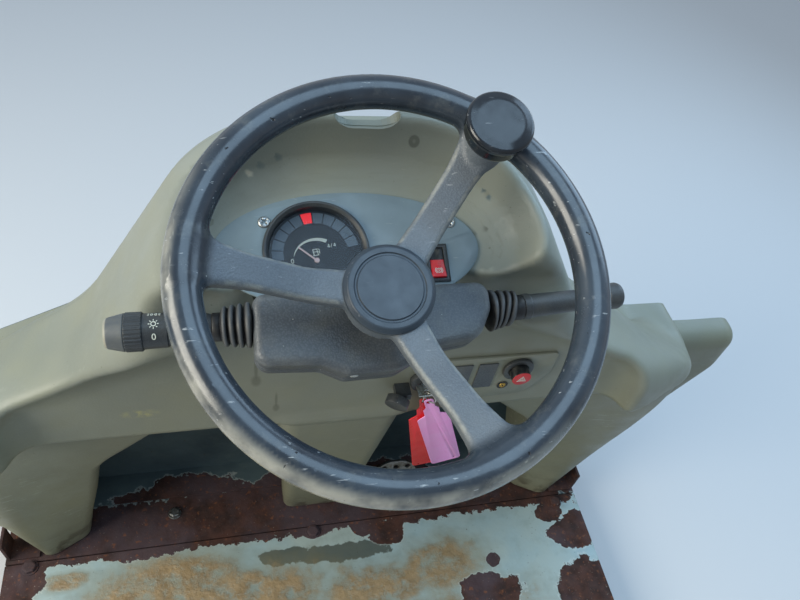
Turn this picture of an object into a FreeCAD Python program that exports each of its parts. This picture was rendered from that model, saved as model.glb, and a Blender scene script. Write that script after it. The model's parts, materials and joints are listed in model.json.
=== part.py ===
import FreeCAD, Part
import math
import os

os.makedirs("parts", exist_ok=True)

V = FreeCAD.Vector
X_AXIS, Y_AXIS, Z_AXIS = V(1, 0, 0), V(0, 1, 0), V(0, 0, 1)

# Main dimensions, in millimetres. X is the driver's right, Y is forward, Z is up.
# Shapes are drawn from the wheel's centre; lift() moves them to their height above the ground.
WHEEL_OUTER = 360.0
RIM_TUBE = 29.0
COLUMN_TILT = 23.3
WHEEL_HEIGHT = 920.0
WHEEL_Y = -20.0
DECK_PLATE = 6.0
DECK_TOP = 66.0
FLOOR = DECK_TOP - WHEEL_HEIGHT
DECK_HALF_WIDTH = 526.0
FOOTPLATE_REAR = -290.0
SEAM_Y = 152.0
SEAM_GAP = 2.0
FRAME_FRONT = 330.0
WALL = 6.0
SEAT_GAP = 0.3
COWL_SEAT = FLOOR + SEAT_GAP
BODY_REAR, BODY_FRONT, COWL_FRONT = 50.0, 200.0, 240.0
# A length that reaches past everything, for cutting.
FAR = 1500.0

WHEEL_AT = V(0, WHEEL_Y, WHEEL_HEIGHT)
nodes = []


# Placing and saving
def lift(shape):
    out = shape.copy()
    out.translate(WHEEL_AT)
    return out


def tilt(shape):
    out = shape.copy()
    out.rotate(V(0, 0, 0), X_AXIS, COLUMN_TILT)
    return out


def save(name, shape, tilted=False):
    """Write one sub-part; a tilted one was drawn with Z along the steering column."""
    body = tilt(shape) if tilted else shape
    largest = max(body.removeSplitter().Solids, key=lambda solid: solid.Volume)
    body = lift(largest)
    assert body.isValid(), name
    body.exportStep("parts/" + name + ".step")
    nodes.append(name)


# Simple solids
def box(x0, x1, y0, y1, z0, z1):
    return Part.makeBox(x1 - x0, y1 - y0, z1 - z0, V(x0, y0, z0))


def rod(radius, start, end):
    a, b = V(*start), V(*end)
    return Part.makeCylinder(radius, (b - a).Length, a, b - a)


def ring(outer, bore, x, up, n0, n1):
    return rod(outer, (x, up, n0), (x, up, n1)).cut(rod(bore, (x, up, n0 - 1), (x, up, n1 + 1)))


def turned(points, axis):
    """A closed profile of (x, y, z) points, revolved about an axis through the origin."""
    wire = Part.makePolygon([V(*p) for p in points] + [V(*points[0])])
    return Part.Face(wire).revolve(V(0, 0, 0), axis, 360)


# Outlines: closed loops of (x, second coordinate, corner radius), counter-clockwise
def inset(points, amount):
    """Move every edge of a closed loop inwards by amount, and its corner radii with it."""
    out = []
    count = len(points)
    for i in range(count):
        ax, ay = points[i - 1][0], points[i - 1][1]
        bx, by = points[i][0], points[i][1]
        cx, cy = points[(i + 1) % count][0], points[(i + 1) % count][1]
        d0 = math.hypot(bx - ax, by - ay)
        d1 = math.hypot(cx - bx, cy - by)
        n0 = (-(by - ay) / d0, (bx - ax) / d0)
        n1 = (-(cy - by) / d1, (cx - bx) / d1)
        k = amount / (1 + n0[0] * n1[0] + n0[1] * n1[1])
        turn = (bx - ax) * (cy - by) - (by - ay) * (cx - bx)
        radius = points[i][2] - amount if turn > 0 else points[i][2] + amount
        out.append((bx + k * (n0[0] + n1[0]), by + k * (n0[1] + n1[1]), max(radius, 0.6)))
    return out


def loop(points, place):
    """A closed wire of straight runs and corner arcs; place() puts a flat point in space."""
    arcs = []
    count = len(points)
    for i in range(count):
        before = V(points[i - 1][0], points[i - 1][1], 0)
        corner = V(points[i][0], points[i][1], 0)
        after = V(points[(i + 1) % count][0], points[(i + 1) % count][1], 0)
        radius = points[i][2]
        u, w = (before - corner).normalize(), (after - corner).normalize()
        half = math.acos(max(-1.0, min(1.0, u.dot(w)))) / 2
        run = radius / math.tan(half)
        middle = (u + w).normalize()
        centre = corner + middle * (radius / math.sin(half))
        arcs.append((corner + u * run, centre - middle * radius, corner + w * run))
    edges = []
    for i in range(count):
        start, top, end = arcs[i]
        following = arcs[(i + 1) % count][0]
        edges.append(Part.Arc(place(start), place(top), place(end)).toShape())
        edges.append(Part.LineSegment(place(end), place(following)).toShape())
    return Part.Wire(edges)


def facing(y):
    return lambda p: V(p.x, y, p.y)


def level(z):
    return lambda p: V(p.x, p.y, z)


def prism(points, y0, y1):
    """A flat loop in X and Z, pushed from y0 forward to y1."""
    return Part.Face(loop(points, facing(y0))).extrude(V(0, y1 - y0, 0))


def slab(points, z0, z1):
    """A flat loop in X and Y, raised from z0 to z1."""
    return Part.Face(loop(points, level(z0))).extrude(V(0, 0, z1 - z0))


def mirrored(shape):
    return shape.mirror(V(0, 0, 0), X_AXIS)


def both(shape):
    return shape.fuse(mirrored(shape))


def mirror_loop(half):
    """Close a half outline, given from the top centre down the right side, about X = 0."""
    left = [(-x, z, r) for x, z, r in reversed(half)]
    return list(reversed(list(half) + left))


# Switch housing on the column, drawn in the wheel's frame: across, up the slope, along the column.
HOUSING_LEFT, HOUSING_RIGHT = -113.7, 111.7
# Columns: x, up the slope, corner radius.
HOUSING = [
    (HOUSING_LEFT, -46.0, 14.0),
    (-56.0, -49.0, 20.0),
    (-34.0, -60.0, 12.0),
    (14.0, -59.0, 20.0),
    (52.0, -40.0, 30.0),
    (96.0, -34.0, 22.0),
    (HOUSING_RIGHT, -6.0, 24.0),
    (HOUSING_RIGHT, 22.0, 14.0),
    (HOUSING_LEFT, 20.0, 12.0),
]
# Columns: place along the column, how far the outline shrinks there.
HOUSING_SIDES = [(-138.0, 7.0), (-126.0, 0.0), (-104.0, 0.0), (-97.0, 3.0), (-94.0, 8.0)]
COLUMN_RADIUS = 11.0
TUBE_RADIUS = 20.0
SHAFT_FIT = 0.05

# Stalks, on a line across the column. The right one rises a little outwards.
STALK_UP, STALK_N = -4.0, -115.0
STALK_RISE = 3.5
BOOT_ROOM, ARM_ROOM = 22.0, 17.5
STALK_REACH = 262.0


def make_housing():
    wires = [loop(inset(HOUSING, shrink), level(n)) for n, shrink in HOUSING_SIDES]
    body = Part.makeLoft(wires, True, True)
    body = body.cut(rod(COLUMN_RADIUS + 5, (0, 0, -FAR), (0, 0, 0)))
    return body.cut(gauge_disc(-0.8, PANEL_N - 60, PANEL_N + 5))


def saddle(gap):
    """Room for the switch housing and its stalks, gap wider than they are."""
    room = slab(inset(HOUSING, -gap), HOUSING_SIDES[0][0] - gap, HOUSING_SIDES[-1][0] + 60)
    rise = (STALK_REACH - HOUSING_RIGHT) * math.tan(math.radians(STALK_RISE))
    left, right = (-STALK_REACH, STALK_UP, STALK_N), (STALK_REACH, STALK_UP + rise, STALK_N)
    centre = (0, STALK_UP, STALK_N)
    boot = 166.0
    tools = [rod(BOOT_ROOM + gap, (-boot, STALK_UP, STALK_N), (boot, STALK_UP, STALK_N))]
    tools += [rod(ARM_ROOM + gap, centre, left), rod(ARM_ROOM + gap, centre, right)]
    return room.fuse(tools)


# Cowl outline at its front edge, right half. Columns: x, z, corner radius.
OUTLINE = [
    (142.0, 25.0, 164.0),
    (298.0, -229.0, 170.0),
    (556.0, -356.0, 72.0),
    (520.0, -520.0, 4.0),
]
DASH_LOW = -372.0
FLANGE_STEP = 44.0

# The body seen from above, right half, with its broad rear corner. Columns: x, y, corner radius.
PLAN = [
    (545.0, COWL_FRONT + 120, 2.0),
    (545.0, 127.0, 100.0),
    (400.0, 48.0, 60.0),
]

# Rounding of the cowl's rear edge. Columns: y, how far the outline shrinks there.
ROUNDING = [
    (BODY_REAR, 42.0),
    (60.0, 24.0),
    (84.0, 8.0),
    (120.0, 0.0),
]

# Height of a leg from the deck to the dash's lower edge, as its sections are drawn.
LEG_DRAWN = 481.7
# Leg sections, right side. Columns: height above the deck, inner face's distance from the deck's edge,
# rear y there, outer face's distance from the deck's edge, rear y there, radius.
LEG = [
    (0.0, 130.0, 190.0, 60.0, 150.0, 26.0),
    (113.7, 156.0, 176.0, 39.0, 131.0, 50.0),
    (213.7, 181.0, 160.0, 20.0, 113.0, 75.0),
    (337.7, 206.0, 138.0, -4.0, 95.0, 90.0),
    (413.7, 282.0, 131.0, -14.0, 86.0, 100.0),
    (LEG_DRAWN, 346.0, 128.0, -15.0, 86.0, 100.0),
    (LEG_DRAWN + 22, 354.0, 130.0, -2.0, 88.0, 100.0),
]

# Pillar sections. Columns: z, half width, rear y, corner radius.
PILLAR = [
    (COWL_SEAT, 58.0, 196.0, 20.0),
    (-640.0, 66.0, 140.0, 24.0),
    (DASH_LOW, 84.0, 92.0, 28.0),
    (DASH_LOW + 16, 86.0, 94.0, 28.0),
]

# Recessed lower dash face, right half. Columns: x, z, corner radius.
POCKET = [
    (100.0, -100.0, 30.0),
    (150.0, -182.0, 60.0),
    (374.0, -292.0, 44.0),
    (374.0, -420.0, 4.0),
]
POCKET_FACE = 92.0
POCKET_FLARE, FLARE_DEPTH = 30.0, 52.0

# Front wing, right side. Columns: x, z, corner radius.
WING = [
    (DECK_HALF_WIDTH + 34, -380.0, 6.0),
    (DECK_HALF_WIDTH - 106, -430.0, 6.0),
    (DECK_HALF_WIDTH - 106, COWL_SEAT, 4.0),
    (DECK_HALF_WIDTH - 6, COWL_SEAT, 10.0),
    (DECK_HALF_WIDTH + 168, -500.0, 60.0),
    (DECK_HALF_WIDTH + 168, -408.0, 22.0),
    (DECK_HALF_WIDTH + 74, -408.0, 20.0),
]
WING_REAR = 198.0

# Ovals in planes that lie parallel to the wheel: centre across and up, half width, half height.
PANEL_OVAL = (-16.0, 66.0, 131.0, 61.0)
COVE_OVAL = (-12.0, 66.0, 158.0, 88.0)
LIP_OVAL = (-8.0, 62.0, 176.0, 116.0)
PANEL_N, COVE_N, LIP_N = -115.0, -103.0, -60.0
PANEL_THICK = 3.0
LEDGE = 7.0

# Notch in the hood's front edge. Columns: x, z, corner radius.
NOTCH = [(-36.0, 60.0, 1.0), (-28.0, 4.0, 22.0), (34.0, 4.0, 22.0), (42.0, 60.0, 1.0)]

# Lower switches on the recessed face.
KEY_X, KEY_Z = 92.0, -294.0
LOCK_BARREL = 12.0


def oval(values, n, grow=0.0):
    x, up, half_x, half_up = values
    return Part.Wire(Part.Ellipse(V(x, up, n), half_x + grow, half_up + grow).toShape())


def cove(grow):
    """The bowl between the instrument panel and the hood's lip."""
    low = oval(PANEL_OVAL, PANEL_N - PANEL_THICK - grow, 2.0 + grow)
    middle = oval(COVE_OVAL, COVE_N - grow, grow)
    top = oval(LIP_OVAL, LIP_N, grow)
    above = oval(LIP_OVAL, LIP_N + 90.0, grow + 10.0)
    bowl = Part.makeLoft([low, middle, top], True, False)
    return tilt(bowl.fuse(Part.makeLoft([top, above], True, True)))


def pocket(grow):
    """The recess over the driver's knees, with walls that flare towards the driver."""
    face = POCKET_FACE + grow
    rear = face - FLARE_DEPTH
    outline = mirror_loop(POCKET)
    mouth = loop(inset(outline, -POCKET_FLARE - grow), facing(rear))
    floor = loop(inset(outline, -grow), facing(face))
    flare = Part.makeLoft([mouth, floor], True, True)
    return flare.fuse(prism(inset(outline, -POCKET_FLARE - grow), -FAR, rear))


def leg_height(drawn):
    """A drawn height on the leg, stretched to the room between the deck and the dash."""
    if drawn > LEG_DRAWN:
        return DASH_LOW + drawn - LEG_DRAWN
    return COWL_SEAT + drawn * (DASH_LOW - COWL_SEAT) / LEG_DRAWN


def cowl_mass(shrink, front):
    """The cowl's filled shape, its skin moved inwards by shrink."""
    outline = mirror_loop(OUTLINE)
    wires = [loop(inset(outline, amount + shrink), facing(y + shrink)) for y, amount in ROUNDING]
    mass = Part.makeLoft(wires, True, True)
    mass = mass.fuse(prism(inset(outline, shrink), ROUNDING[-1][0] + shrink, BODY_FRONT - shrink))
    mass = mass.fuse(prism(inset(outline, FLANGE_STEP + shrink), BODY_FRONT - 2 * WALL, front))
    mass = mass.common(slab(inset(mirror_loop(PLAN), shrink), DASH_LOW + shrink, FAR))
    sections = []
    for height, inner, y0, outer, y1, radius in LEG:
        x0, x1 = DECK_HALF_WIDTH - inner, DECK_HALF_WIDTH - outer
        flat = [(x0, y0, 12.0), (x1, y1, radius), (x1, front + 40, 2.0), (x0, front + 40, 2.0)]
        sections.append(loop(inset(flat, shrink), level(leg_height(height))))
    leg = Part.makeLoft(sections, True, True)
    sections = []
    for z, half, y0, radius in PILLAR:
        flat = [(-half, y0, radius), (half, y0, radius)]
        flat += [(half, front + 40, 2.0), (-half, front + 40, 2.0)]
        sections.append(loop(inset(flat, shrink), level(z)))
    pillar = Part.makeLoft(sections, True, True)
    past = box(-FAR, FAR, front, FAR, -FAR, FAR)
    mass = mass.fuse([both(leg).cut(past), pillar.cut(past)])
    wing = prism(inset(WING, shrink), WING_REAR + shrink, front)
    return mass.fuse(both(wing)).cut(pocket(shrink)).cut(cove(shrink))


def make_cowl():
    """One hollow moulding, open to the front, with its wall WALL thick all over."""
    shell = cowl_mass(0.0, COWL_FRONT).cut(cowl_mass(WALL, COWL_FRONT + 60))
    shell = shell.cut(prism(NOTCH, ROUNDING[-1][0], FAR))
    shell = shell.cut(box(-FAR, FAR, -FAR, FAR, -FAR, COWL_SEAT))
    shell = shell.cut(rod(LOCK_BARREL + 0.5, (KEY_X, 0, KEY_Z), (KEY_X, BODY_FRONT, KEY_Z)))
    column = rod(TUBE_RADIUS + 3, (0, 0, -90), (0, 0, -340))
    works = Part.Face(oval(PANEL_OVAL, -200.0, -LEDGE)).extrude(V(0, 0, 100.0))
    return shell.cut(tilt(saddle(3.0).fuse([column, works])))


# Steering wheel, in its own frame
SPOKE_ANGLES = (53.0, 173.0, 293.0)
# Spoke sections along the arm. Columns: distance out, centre height, half width, half thickness.
SPOKE = [(20.0, -52.0, 17.0, 8.0), (70.0, -46.0, 14.5, 7.5), (120.0, -22.0, 14.5, 7.5)]
SPOKE_END = (-2.0, 21.0, 9.0)
SPOKE_EDGE = 5.0
HUB_TOP, HUB_BASE = -44.0, -66.0
HUB_RADIUS = 38.0
CAP_RADIUS, CAP_PLUG = 40.5, 31.0
KNOB_REACH, KNOB_ANGLE = 146.0, 51.2
KNOB_PIN = 5.0
KNOB_BASE = 17.5
KNOB_BORE = 17.0
PAD_RADIUS, WASHER_RADIUS = 17.0, 9.0
KNOB_X = KNOB_REACH * math.cos(math.radians(KNOB_ANGLE))
KNOB_UP = KNOB_REACH * math.sin(math.radians(KNOB_ANGLE))


def make_wheel():
    """Rim, three dished spokes, hub boss and knob pad, moulded in one piece over a steel core."""
    radius = RIM_TUBE / 2
    reach = WHEEL_OUTER / 2 - radius
    wheel = Part.makeTorus(reach, radius, V(0, 0, 0), Z_AXIS)
    rows = SPOKE + [(reach - 2,) + SPOKE_END]
    for angle in SPOKE_ANGLES:
        wires = []
        for out, height, half, thick in rows:
            flat = [(-half, height - thick, SPOKE_EDGE), (half, height - thick, SPOKE_EDGE)]
            flat += [(half, height + thick, SPOKE_EDGE), (-half, height + thick, SPOKE_EDGE)]
            wires.append(loop(flat, lambda p, out=out: V(out, p.x, p.y)))
        spoke = Part.makeLoft(wires, True, False)
        spoke.rotate(V(0, 0, 0), Z_AXIS, angle)
        wheel = wheel.fuse(spoke)
    boss = rod(HUB_RADIUS, (0, 0, HUB_BASE), (0, 0, HUB_TOP))
    pad = rod(PAD_RADIUS, (KNOB_X, KNOB_UP, -14), (KNOB_X, KNOB_UP, KNOB_BASE - 1.5))
    wheel = wheel.fuse([boss, pad])
    wheel = wheel.cut(rod(COLUMN_RADIUS, (0, 0, HUB_BASE - 20), (0, 0, -20)))
    wheel = wheel.cut(rod(CAP_PLUG, (0, 0, HUB_TOP - 8), (0, 0, 0)))
    return wheel.cut(rod(KNOB_PIN, (KNOB_X, KNOB_UP, -20), (KNOB_X, KNOB_UP, KNOB_BASE)))


def make_hub_cap():
    """Round cap with a bevelled edge and a ring groove, plugged into the hub."""
    plug, groove = CAP_PLUG - 0.1, 30.0
    low, top = HUB_TOP + 0.2, HUB_TOP + 9.0
    profile = [(0, 0, HUB_TOP - 8), (plug, 0, HUB_TOP - 8), (plug, 0, low), (CAP_RADIUS, 0, low)]
    profile += [(CAP_RADIUS, 0, top - 4), (CAP_RADIUS - 3, 0, top), (groove + 1.5, 0, top)]
    profile += [(groove, 0, top - 1.2), (groove - 1.5, 0, top), (0, 0, top)]
    return turned(profile, Z_AXIS)


def make_knob():
    """Spinner knob: a wide foot, a barrel and a flat dome, bored for its pin."""
    # Columns: radius, height above the knob's foot.
    rows = [(26.0, 0.0), (29.5, 2.5), (30.0, 7.0), (28.6, 14.0), (28.0, 20.0), (26.5, 22.5), (15.0, 24.6)]
    bore = KNOB_PIN + SHAFT_FIT
    profile = [(bore, 0, 0)] + [(r, 0, z) for r, z in rows] + [(0, 0, 25)]
    profile += [(0, 0, KNOB_BORE), (bore, 0, KNOB_BORE)]
    knob = turned(profile, Z_AXIS)
    knob.translate(V(KNOB_X, KNOB_UP, KNOB_BASE))
    return knob


def make_pin():
    x, up = KNOB_X, KNOB_UP
    pin = rod(KNOB_PIN, (x, up, -18), (x, up, KNOB_BASE + KNOB_BORE - 2))
    return pin.fuse(rod(WASHER_RADIUS, (x, up, KNOB_BASE - 1.5), (x, up, KNOB_BASE - SEAT_GAP)))


# Steel base: an inverted channel frame with two floor plates and the bulkhead.
FRAME_WIDTH, FRAME_WALL = 56.0, 5.0
FRAME_LOW, FRAME_HIGH = -WHEEL_HEIGHT, FLOOR - DECK_PLATE
CROSS_HALF = 34.0
MOUNT_HOLE = 6.5
MOUNT_Y = (-250.0, 290.0)
MOUNT_Z = FRAME_LOW + 28.0
PAN_DEPTH, PAN_WALL = 60.0, 4.0
BULKHEAD_TOP, BULKHEAD_HALF = -60.0, 500.0
# Pan pressed forward in the bulkhead, right half. Columns: x, z, corner radius.
PAN = [(60.0, -90.0, 30.0), (230.0, -290.0, 60.0), (440.0, -385.0, 40.0), (455.0, COWL_SEAT, 4.0)]


def make_footplate():
    return box(-DECK_HALF_WIDTH, DECK_HALF_WIDTH, FOOTPLATE_REAR, SEAM_Y, FRAME_HIGH, FLOOR)


def make_front_plate():
    return box(-DECK_HALF_WIDTH, DECK_HALF_WIDTH, SEAM_Y + SEAM_GAP, FRAME_FRONT, FRAME_HIGH, FLOOR)


def frame_solid(back, z0, z1):
    """Outer ring and one cross bar, every upright face moved inwards by back."""
    x = DECK_HALF_WIDTH - back
    y0, y1 = FOOTPLATE_REAR + back, FRAME_FRONT - back
    w = FRAME_WIDTH - 2 * back
    outer = box(-x, x, y0, y1, z0, z1).cut(box(-x + w, x - w, y0 + w, y1 - w, z0 - 5, z1 + 5))
    cross_y0, cross_y1 = SEAM_Y - CROSS_HALF + back, SEAM_Y + CROSS_HALF - back
    return outer.fuse(box(-x + w / 2, x - w / 2, cross_y0, cross_y1, z0, z1))


def make_frame():
    frame = frame_solid(0.0, FRAME_LOW, FRAME_HIGH)
    frame = frame.cut(frame_solid(FRAME_WALL, FRAME_LOW - 5, FRAME_HIGH - FRAME_WALL))
    for y in MOUNT_Y:
        for side in (-1, 1):
            x = side * DECK_HALF_WIDTH
            frame = frame.cut(rod(MOUNT_HOLE, (x - side * 10, y, MOUNT_Z), (x + side * 10, y, MOUNT_Z)))
    return frame


def make_bulkhead():
    """Flat sheet against the cowl's front flange, with a pan pressed forward in its middle."""
    y0 = COWL_FRONT + SEAT_GAP
    y1 = y0 + PAN_WALL
    sheet = prism(inset(mirror_loop(OUTLINE), FLANGE_STEP + WALL / 2), y0, y1)
    sheet = sheet.fuse(box(-BULKHEAD_HALF, BULKHEAD_HALF, y0, y1, COWL_SEAT, OUTLINE[-1][1] + 60))
    sheet = sheet.cut(box(-FAR, FAR, -FAR, FAR, BULKHEAD_TOP, FAR))
    pan = mirror_loop(PAN)
    sheet = sheet.fuse(prism(pan, y0, y0 + PAN_DEPTH))
    return sheet.cut(prism(inset(pan, PAN_WALL), y0 - 5, y0 + PAN_DEPTH - PAN_WALL))


def make_bracket(side):
    """Rusted angle bracket at the outer end of the seam."""
    outer = DECK_HALF_WIDTH - 4
    y0, y1 = SEAM_Y + 8, SEAM_Y + 44
    foot = box(outer - 50, outer, y0, y1, FLOOR, FLOOR + 5)
    bracket = foot.fuse(box(outer - 5, outer, y0, y1, FLOOR, FLOOR + 58))
    return bracket if side > 0 else mirrored(bracket)


# Column and its fittings, in the frame of the wheel.
TUBE_TOP, TUBE_END = -152.0, -345.0
VALVE_HALF_X, VALVE_HALF_UP, VALVE_LENGTH = 45.0, 38.0, 95.0
CLAMP_N = (-342.0, -313.0)
BRACKET_Z = (-335.0, -280.0)
BRACKET_REAR = 128.0


def make_column():
    tube = rod(TUBE_RADIUS, (0, 0, TUBE_END), (0, 0, TUBE_TOP))
    return tube.cut(rod(COLUMN_RADIUS + SHAFT_FIT, (0, 0, TUBE_END - 5), (0, 0, TUBE_TOP + 5)))


def make_shaft():
    return rod(COLUMN_RADIUS, (0, 0, TUBE_END), (0, 0, HUB_BASE + 8))


def valve_block(gap):
    x, up = VALVE_HALF_X + gap, VALVE_HALF_UP + gap
    return box(-x, x, -up, up, TUBE_END - VALVE_LENGTH, TUBE_END)


def make_column_bracket():
    """Split clamp round the tube on two plates that reach forward to the bulkhead."""
    clamp = ring(TUBE_RADIUS + 7, TUBE_RADIUS, 0, 0, *CLAMP_N)
    y1 = COWL_FRONT + SEAT_GAP + PAN_DEPTH - PAN_WALL
    x = TUBE_RADIUS + 3.5
    plates = both(box(x - 2.5, x + 2.5, BRACKET_REAR, y1, *BRACKET_Z))
    tab = box(-TUBE_RADIUS - 30, TUBE_RADIUS + 30, y1 - 5, y1, *BRACKET_Z)
    room = rod(TUBE_RADIUS, (0, 0, TUBE_END), (0, 0, TUBE_TOP)).fuse(valve_block(1.0))
    return tilt(clamp).fuse([plates, tab]).cut(tilt(room))


# Stalks, turned about a line across the column. Columns: distance out, radius.
LEFT_START, LEFT_BOOT_END = -HOUSING_LEFT + 0.2, 149.0
RIGHT_START, RIGHT_BOOT_END = HOUSING_RIGHT + 1.4, 150.0
LEFT_BARREL = [(LEFT_BOOT_END, 12.0), (156.0, 14.0), (186.0, 14.5)]
LEFT_BAND = [(186.0, 15.5), (207.0, 16.0)]
LEFT_KNOB = [(207.0, 17.5), (222.0, 17.5)]
LEFT_CAP = [(222.0, 17.0), (236.0, 13.5), (239.0, 11.5)]
RIGHT_BARREL = [(RIGHT_BOOT_END, 12.0), (160.0, 13.0), (244.0, 10.5)]
RIGHT_KNOB = [(244.0, 14.0), (258.0, 13.5), (261.0, 12.0)]


def bellows(start, end, ribs, wide, narrow):
    """Rows of a rubber boot: each rib's peak, then the valley after it, shrinking outwards."""
    pitch = (end - start) / ribs
    rows = [(start, wide - 2.5)]
    for i in range(ribs):
        peak = wide + (narrow - wide) * i / ribs
        rows.append((start + pitch * (i + 0.35), peak))
        rows.append((start + pitch * (i + 0.85), peak - 3.6))
    return rows + [(end, narrow - 1.5)]


def stalk_part(rows, side):
    profile = [(rows[0][0], 0, 0)] + [(x, 0, r) for x, r in rows] + [(rows[-1][0], 0, 0)]
    body = turned(profile, X_AXIS)
    if side > 0:
        body.rotate(V(HOUSING_RIGHT, 0, 0), Z_AXIS, STALK_RISE)
    else:
        body = mirrored(body)
    body.translate(V(0, STALK_UP, STALK_N))
    return body


# Instruments, on a plate that lies parallel to the wheel.
GAUGE_RADIUS = 51.5
GAUGE_X, GAUGE_UP = -49.0, 66.0
GAUGE_RIM, GAUGE_DEPTH = 6.0, 30.0
DIAL_N = PANEL_N - 6.0
NEEDLE_LOW, NEEDLE_LENGTH, NEEDLE_TURN = 8.0, 22.0, 50.0
ROCKER_X, ROCKER_UP = 69.0, 48.5
ROCKER_W, ROCKER_L, ROCKER_SLOPE = 23.0, 40.0, 14.0


def rocker_box(back, n0, n1):
    """A block of the rocker switch's outline, its sides moved inwards by back."""
    w, h = ROCKER_W / 2 - back, ROCKER_L / 2 - back
    return box(ROCKER_X - w, ROCKER_X + w, ROCKER_UP - h, ROCKER_UP + h, n0, n1)


def gauge_disc(back, n0, n1):
    return rod(GAUGE_RADIUS - back, (GAUGE_X, GAUGE_UP, n0), (GAUGE_X, GAUGE_UP, n1))


def make_panel():
    plate = Part.Face(oval(PANEL_OVAL, PANEL_N - PANEL_THICK)).extrude(V(0, 0, PANEL_THICK))
    plate = plate.cut(gauge_disc(3.0, PANEL_N - 30, PANEL_N + 30))
    plate = plate.cut(rocker_box(2.0, PANEL_N - 30, PANEL_N + 30))
    return plate.cut(saddle(1.0))


def make_bezel():
    """Gauge case: a flange on the panel, and a cup behind it that holds dial and lens."""
    flange = gauge_disc(0.0, PANEL_N, PANEL_N + 4.0)
    cup = gauge_disc(3.3, PANEL_N - GAUGE_DEPTH - 2.0, PANEL_N)
    return flange.fuse(cup).cut(gauge_disc(GAUGE_RIM, PANEL_N - GAUGE_DEPTH, PANEL_N + 10))


def make_dial():
    return gauge_disc(GAUGE_RIM + 0.2, PANEL_N - GAUGE_DEPTH, DIAL_N)


def make_lens():
    return gauge_disc(GAUGE_RIM + 0.2, PANEL_N + 1.0, PANEL_N + 3.0)


def make_needle():
    low = GAUGE_UP - NEEDLE_LOW
    pivot = rod(2.4, (GAUGE_X, low, DIAL_N), (GAUGE_X, low, DIAL_N + 2.5))
    arm = box(-0.7, 0.7, 0, NEEDLE_LENGTH, DIAL_N + 0.6, DIAL_N + 1.6)
    arm.rotate(V(0, 0, 0), Z_AXIS, NEEDLE_TURN)
    arm.translate(V(GAUGE_X, low, 0))
    return pivot.fuse(arm)


def make_rocker_frame():
    frame = rocker_box(0.0, PANEL_N, PANEL_N + 2.0).fuse(rocker_box(2.3, PANEL_N - 24.0, PANEL_N))
    return frame.cut(rocker_box(4.0, PANEL_N - 20.0, PANEL_N + 5))


def make_rocker():
    """Rocker with its lower half standing proud and sloping."""
    rocker = rocker_box(4.3, PANEL_N - 20.0, PANEL_N + 6.0)
    x0, x1 = ROCKER_X - ROCKER_W, ROCKER_X + ROCKER_W
    slope = box(x0, x1, -ROCKER_L, 0, 0, ROCKER_L)
    slope.rotate(V(0, 0, 0), X_AXIS, -ROCKER_SLOPE)
    slope.translate(V(0, ROCKER_UP, PANEL_N + 1.0))
    upper = box(x0, x1, ROCKER_UP, ROCKER_UP + ROCKER_L, PANEL_N + 1.0, PANEL_N + ROCKER_L)
    return rocker.cut(slope).cut(upper)


# Lower switch panel. Columns: x, z, corner radius.
SWITCH_PLATE = [
    (112.0, -256.0, 12.0),
    (112.0, -342.0, 14.0),
    (236.0, -342.0, 34.0),
    (262.0, -298.0, 24.0),
    (262.0, -256.0, 6.0),
]
PLATE_THICK = 4.0
PLATE_REAR = POCKET_FACE - PLATE_THICK
HAZARD_X, HAZARD_Z, HAZARD_R = 212.0, -281.0, 20.0
HAZARD_BORE = 12.5
BLANKS = ((171.0, -292.0), (138.0, -292.0))
BLANK_HALF_X, BLANK_HALF_Z = 12.5, 25.0


def make_switch_plate():
    plate = prism(SWITCH_PLATE, PLATE_REAR, POCKET_FACE)
    plate = plate.cut(rod(HAZARD_R - 2, (HAZARD_X, 0, HAZARD_Z), (HAZARD_X, 200, HAZARD_Z)))
    for x, z in BLANKS:
        w, h = BLANK_HALF_X - 1.5, BLANK_HALF_Z - 3.0
        plate = plate.cut(box(x - w, x + w, 0, 200, z - h, z + h))
    return plate


def make_blank(x, z):
    """Blanking cover: a flat face on the plate and a plug through it."""
    w, h = BLANK_HALF_X, BLANK_HALF_Z
    face = box(x - w, x + w, PLATE_REAR - 2.0, PLATE_REAR, z - h, z + h)
    w, h = BLANK_HALF_X - 1.7, BLANK_HALF_Z - 3.2
    return face.fuse(box(x - w, x + w, PLATE_REAR - 1.0, POCKET_FACE, z - h, z + h))


def hazard_rod(radius, y0, y1):
    return rod(radius, (HAZARD_X, y0, HAZARD_Z), (HAZARD_X, y1, HAZARD_Z))


def make_hazard_bezel():
    bezel = hazard_rod(HAZARD_R, PLATE_REAR - 5, PLATE_REAR)
    bezel = bezel.fuse(hazard_rod(HAZARD_R - 2.2, PLATE_REAR - 1, POCKET_FACE))
    return bezel.cut(hazard_rod(HAZARD_BORE, 0, PLATE_REAR + 1))


def make_hazard_button():
    return hazard_rod(HAZARD_BORE - 0.3, PLATE_REAR - 18, PLATE_REAR + 1)


# Ignition lock with its dust cover, and the key in it.
LOCK_RADIUS, LOCK_REAR, LOCK_DEPTH = 17.0, 84.0, 134.0
COVER_RADIUS = 14.5
KEY_THICK, KEY_BOW, KEY_REAR = 2.0, 11.0, 66.0
KEY_HOLE_Y, KEY_HOLE = 71.0, 3.0

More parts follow.
